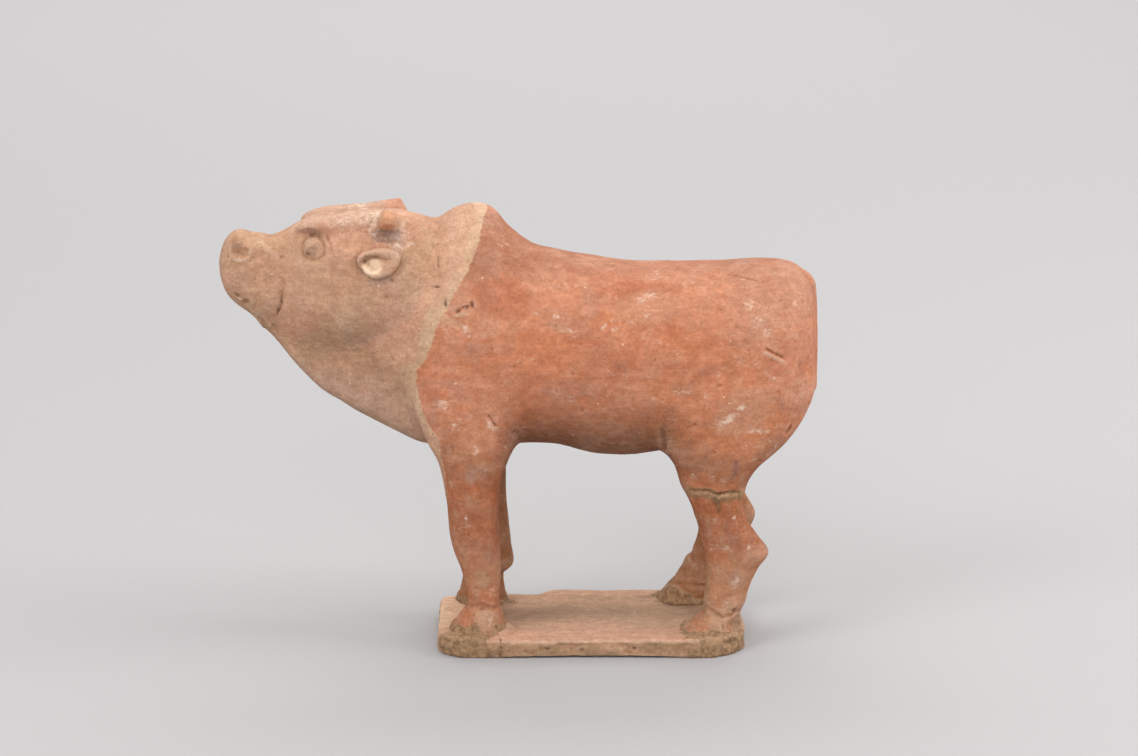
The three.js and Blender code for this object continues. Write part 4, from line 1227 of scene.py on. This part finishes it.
class Nodes:
    """Small helpers that add shader nodes and link them."""

    def __init__(self, name):
        self.material = bpy.data.materials.new(name)
        self.material.use_nodes = True
        self.tree = self.material.node_tree
        self.tree.nodes.clear()
        self.output = self.add("ShaderNodeOutputMaterial")
        self.place = self.add("ShaderNodeTexCoord").outputs["Object"]

    def add(self, kind, **settings):
        node = self.tree.nodes.new(kind)
        for key, value in settings.items():
            setattr(node, key, value)
        return node

    def link(self, source, target):
        if isinstance(source, (int, float)):
            target.default_value = source
        elif isinstance(source, (tuple, list, np.ndarray)):
            target.default_value = (*[float(c) for c in source[:3]], 1.0)
        else:
            self.tree.links.new(source, target)

    def attribute(self, name, output="Fac"):
        return self.add("ShaderNodeAttribute", attribute_name=name).outputs[output]

    def math(self, operation, a, b):
        node = self.add("ShaderNodeMath", operation=operation)
        self.link(a, node.inputs[0])
        self.link(b, node.inputs[1])
        return node.outputs[0]

    def times(self, a, b):
        return self.math("MULTIPLY", a, b)

    def plus(self, a, b):
        return self.math("ADD", a, b)

    def noise(self, size, detail=2.0, roughness=0.5, stretch=None):
        """Noise with lumps of about the given size in mm, drawn out along some axes."""
        place = self.place
        if stretch:
            scaled = self.add("ShaderNodeMapping")
            scaled.inputs["Scale"].default_value = stretch
            self.tree.links.new(place, scaled.inputs["Vector"])
            place = scaled.outputs[0]
        node = self.add("ShaderNodeTexNoise")
        self.tree.links.new(place, node.inputs["Vector"])
        node.inputs["Scale"].default_value = 1 / (size * MM)
        node.inputs["Detail"].default_value = detail
        node.inputs["Roughness"].default_value = roughness
        return node.outputs["Fac"]

    def wander(self, size, detail, roughness, reach):
        """Noise about 0 that makes an edge ragged."""
        return self.times(self.math("SUBTRACT", self.noise(size, detail, roughness), 0.5), reach)

    def dots(self, size, edge, patch, span, amount):
        """Round dots, one in each cell of the given size where a broad noise is high."""
        node = self.add("ShaderNodeTexVoronoi")
        self.tree.links.new(self.place, node.inputs["Vector"])
        node.inputs["Scale"].default_value = 1 / (size * MM)
        near = self.step(node.outputs["Distance"], edge, DOT_MIDDLE)
        return self.times(self.times(near, self.step(self.noise(patch, 1), *span)), amount)

    def step(self, value, low, high):
        node = self.add("ShaderNodeMapRange", interpolation_type="SMOOTHSTEP")
        self.link(value, node.inputs["Value"])
        node.inputs["From Min"].default_value = low
        node.inputs["From Max"].default_value = high
        return node.outputs["Result"]

    def mix(self, amount, a, b, blend="MIX"):
        node = self.add("ShaderNodeMix", data_type="RGBA", blend_type=blend)
        self.link(amount, node.inputs[0])
        self.link(a, node.inputs[6])
        self.link(b, node.inputs[7])
        return node.outputs[2]

    def shaded(self, colour, factor):
        return self.mix(1.0, colour, factor, "MULTIPLY")


def weathered(n, colour, flake, soil):
    """Grain, wipes, lime flakes, specks and soil over a base colour, with relief and roughness to match."""
    mottle = n.noise(4.0, 5, 0.70, (0.7, 1.0, 1.0))
    colour = n.mix(n.step(mottle, 0.38, 0.66), n.shaded(colour, MOTTLE_DARK), colour)
    grain = n.noise(1.3, 5, 0.74)
    colour = n.mix(n.step(grain, 0.36, 0.64), n.shaded(colour, GRAIN_DARK), colour)
    fleck = n.noise(2.4, 6, 0.8, (0.5, 0.8, 1.0))
    colour = n.mix(n.times(n.step(fleck, 0.53, 0.64), 0.6), colour, n.shaded(colour, FLECK_LIGHT))
    fine = n.noise(0.5, 2, 0.5)
    wipe = n.noise(1.2, 4, 0.70, (0.22, 0.5, 1.0))
    colour = n.mix(n.times(n.step(wipe, 0.51, 0.64), 0.35), colour, n.shaded(colour, WIPE_LIGHT))
    colour = n.mix(n.times(n.step(wipe, 0.47, 0.36), 0.35), colour, n.shaded(colour, WIPE_DARK))

    # Lime: soft smudges where the mask is strong, broken up by a fine noise, and a few stray dots
    cloud = n.noise(1.5, 6, 0.82, (0.7, 1.0, 1.0))
    level = n.plus(cloud, n.times(flake, 0.21))
    most = n.plus(0.25, n.times(flake, 0.42))
    lime = n.times(n.step(level, 0.58, 0.76), most)
    colour = n.mix(lime, colour, LIME)
    colour = n.mix(n.dots(4.4, 0.15, 8.0, (0.56, 0.64), 0.45), colour, LIME)
    speck = n.dots(3.1, 0.14, 6.0, (0.53, 0.60), 0.6)
    colour = n.mix(speck, colour, UMBER)

    # Soil: lumps of light and dark sand with dark pores, and a ragged edge
    sand = n.noise(2.4, 6, 0.74)
    dirt = n.mix(n.step(sand, 0.34, 0.62), SOIL_DARK_AND_SHADE, SOIL_LIGHT)
    dirt = n.mix(n.times(n.step(n.noise(7.0, 3), 0.50, 0.66), 0.6), dirt, CLAY)
    pore = n.step(n.noise(1.3, 3, 0.6), 0.62, 0.70)
    dirt = n.mix(n.times(pore, 0.5), dirt, UMBER)
    cover = n.step(n.plus(soil, n.wander(3.0, 5, 0.7, 1.3)), 0.30, 0.62)
    colour = n.mix(n.times(cover, 0.88), colour, dirt)

    # Relief: each layer's height in mm, before the bump's strength
    height = n.times(grain, 0.24)
    grit_height = n.times(sand, cover)
    relief = ((fine, 0.06), (mottle, 0.25), (wipe, 0.08), (lime, 0.06), (speck, -0.22), (grit_height, 0.6))
    for layer, amount in relief:
        height = n.plus(height, n.times(layer, amount))
    bump = n.add("ShaderNodeBump")
    bump.inputs["Strength"].default_value = BUMP_STRENGTH
    bump.inputs["Distance"].default_value = MM
    n.link(height, bump.inputs["Height"])

    clay = n.add("ShaderNodeBsdfPrincipled")
    n.link(colour, clay.inputs["Base Color"])
    n.link(n.plus(0.80, n.times(grain, 0.18)), clay.inputs["Roughness"])
    clay.inputs["Specular IOR Level"].default_value = 0.2
    n.link(bump.outputs[0], clay.inputs["Normal"])
    n.link(clay.outputs[0], n.output.inputs["Surface"])
    return n.material


def ox_material():
    n = Nodes("ox_earthenware")
    edge = n.step(n.plus(n.attribute("border"), n.wander(1.4, 3, 0.6, 2.4)), -0.4, 0.4)
    colour = n.mix(edge, n.attribute("coat_tint", "Color"), n.attribute("head_tint", "Color"))
    return weathered(n, colour, n.attribute("flake"), n.attribute("soil"))


def plinth_material():
    n = Nodes("plinth_earthenware")
    return weathered(n, n.attribute("tint", "Color"), n.attribute("flake"), n.attribute("soil"))


# Studio: floor's half width and far edge in metres, its colour, and the light of the air
FLOOR_SIDE = 2.2
FLOOR_FAR = 4.5
PAPER = (0.335, 0.327, 0.329, 1)
AIR = (1, 0.99, 0.985, 1)
AIR_STRENGTH = 0.72

# Lamps: name, place, size, power, the point aimed at
OX_MIDDLE = (0, 0, 0.09)
LAMPS = [
    ("key_softbox", (-1.3, -1.2, 1.3), 0.9, 18, OX_MIDDLE),
    ("front_softbox", (0, -1.9, 0.8), 1.0, 18, OX_MIDDLE),
    ("right_softbox", (1.6, -0.1, 0.9), 1.1, 24, OX_MIDDLE),
    ("top_softbox", (0, -0.1, 1.6), 1.4, 9, OX_MIDDLE),
    ("far_softbox", (0, 2.6, 2.2), 3.0, 90, (0, 2.6, 0)),
]


def stage():
    """Plain pale floor that reaches past the camera's view."""
    mesh = bpy.data.meshes.new("studio_floor")
    near = [(-FLOOR_SIDE, -FLOOR_SIDE, 0), (FLOOR_SIDE, -FLOOR_SIDE, 0)]
    mesh.from_pydata([*near, (FLOOR_SIDE, FLOOR_FAR, 0), (-FLOOR_SIDE, FLOOR_FAR, 0)], [], [(0, 1, 2, 3)])
    floor = bpy.data.objects.new("studio_floor", mesh)
    bpy.context.collection.objects.link(floor)
    paper = bpy.data.materials.new("pale_paper")
    paper.use_nodes = True
    shader = paper.node_tree.nodes["Principled BSDF"]
    shader.inputs["Base Color"].default_value = PAPER
    shader.inputs["Roughness"].default_value = 0.9
    shader.inputs["Specular IOR Level"].default_value = 0.1
    mesh.materials.append(paper)


def lamp(name, place, size, power, aim):
    light = bpy.data.lights.new(name, "AREA")
    light.shape = "SQUARE"
    light.size = size
    light.energy = power
    lamp_object = bpy.data.objects.new(name, light)
    lamp_object.location = place
    lamp_object.rotation_mode = "QUATERNION"
    lamp_object.rotation_quaternion = (Vector(aim) - Vector(place)).to_track_quat("-Z", "Y")
    bpy.context.collection.objects.link(lamp_object)


def studio():
    stage()
    for row in LAMPS:
        lamp(*row)
    world = bpy.data.worlds.new("studio_air")
    world.use_nodes = True
    air = world.node_tree.nodes["Background"]
    air.inputs["Color"].default_value = AIR
    air.inputs["Strength"].default_value = AIR_STRENGTH
    bpy.context.scene.world = world
    bpy.context.scene.view_settings.view_transform = "Standard"


# Camera: the photograph's view, 13 degrees above the horizon
CAMERA_TARGET = (-0.00942, 0.0, 0.11043)
CAMERA_DISTANCE = 1.3899
CAMERA_TILT = 13.0
CAMERA_LENS = 105.0


def camera():
    data = bpy.data.cameras.new("photo_camera")
    data.lens = CAMERA_LENS
    data.sensor_width = 36.0
    data.sensor_fit = "HORIZONTAL"
    data.dof.use_dof = False
    tilt = math.radians(CAMERA_TILT)
    back = Vector((0, -math.cos(tilt), math.sin(tilt)))
    eye = bpy.data.objects.new("photo_camera", data)
    eye.location = Vector(CAMERA_TARGET) + back * CAMERA_DISTANCE
    eye.rotation_mode = "QUATERNION"
    eye.rotation_quaternion = (-back).to_track_quat("-Z", "Y")
    bpy.context.collection.objects.link(eye)
    bpy.context.scene.camera = eye


camera()
studio()

ox = built("ox", ox_field, ox_relief, (-158, -39, 4), (98, 39, 190), OX_CELL, OX_TRIANGLES)
paint_ox(ox.data)
ox.data.materials.append(ox_material())
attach(ox, "root")
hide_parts("ox_figure")

slab = built("slab", plinth_field, plinth_relief, (-69, -43, -3), (69, 43, 11), PLINTH_CELL, PLINTH_TRIANGLES)
paint_plinth(slab.data)
slab.data.materials.append(plinth_material())
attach(slab, "root")
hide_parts("plinth")
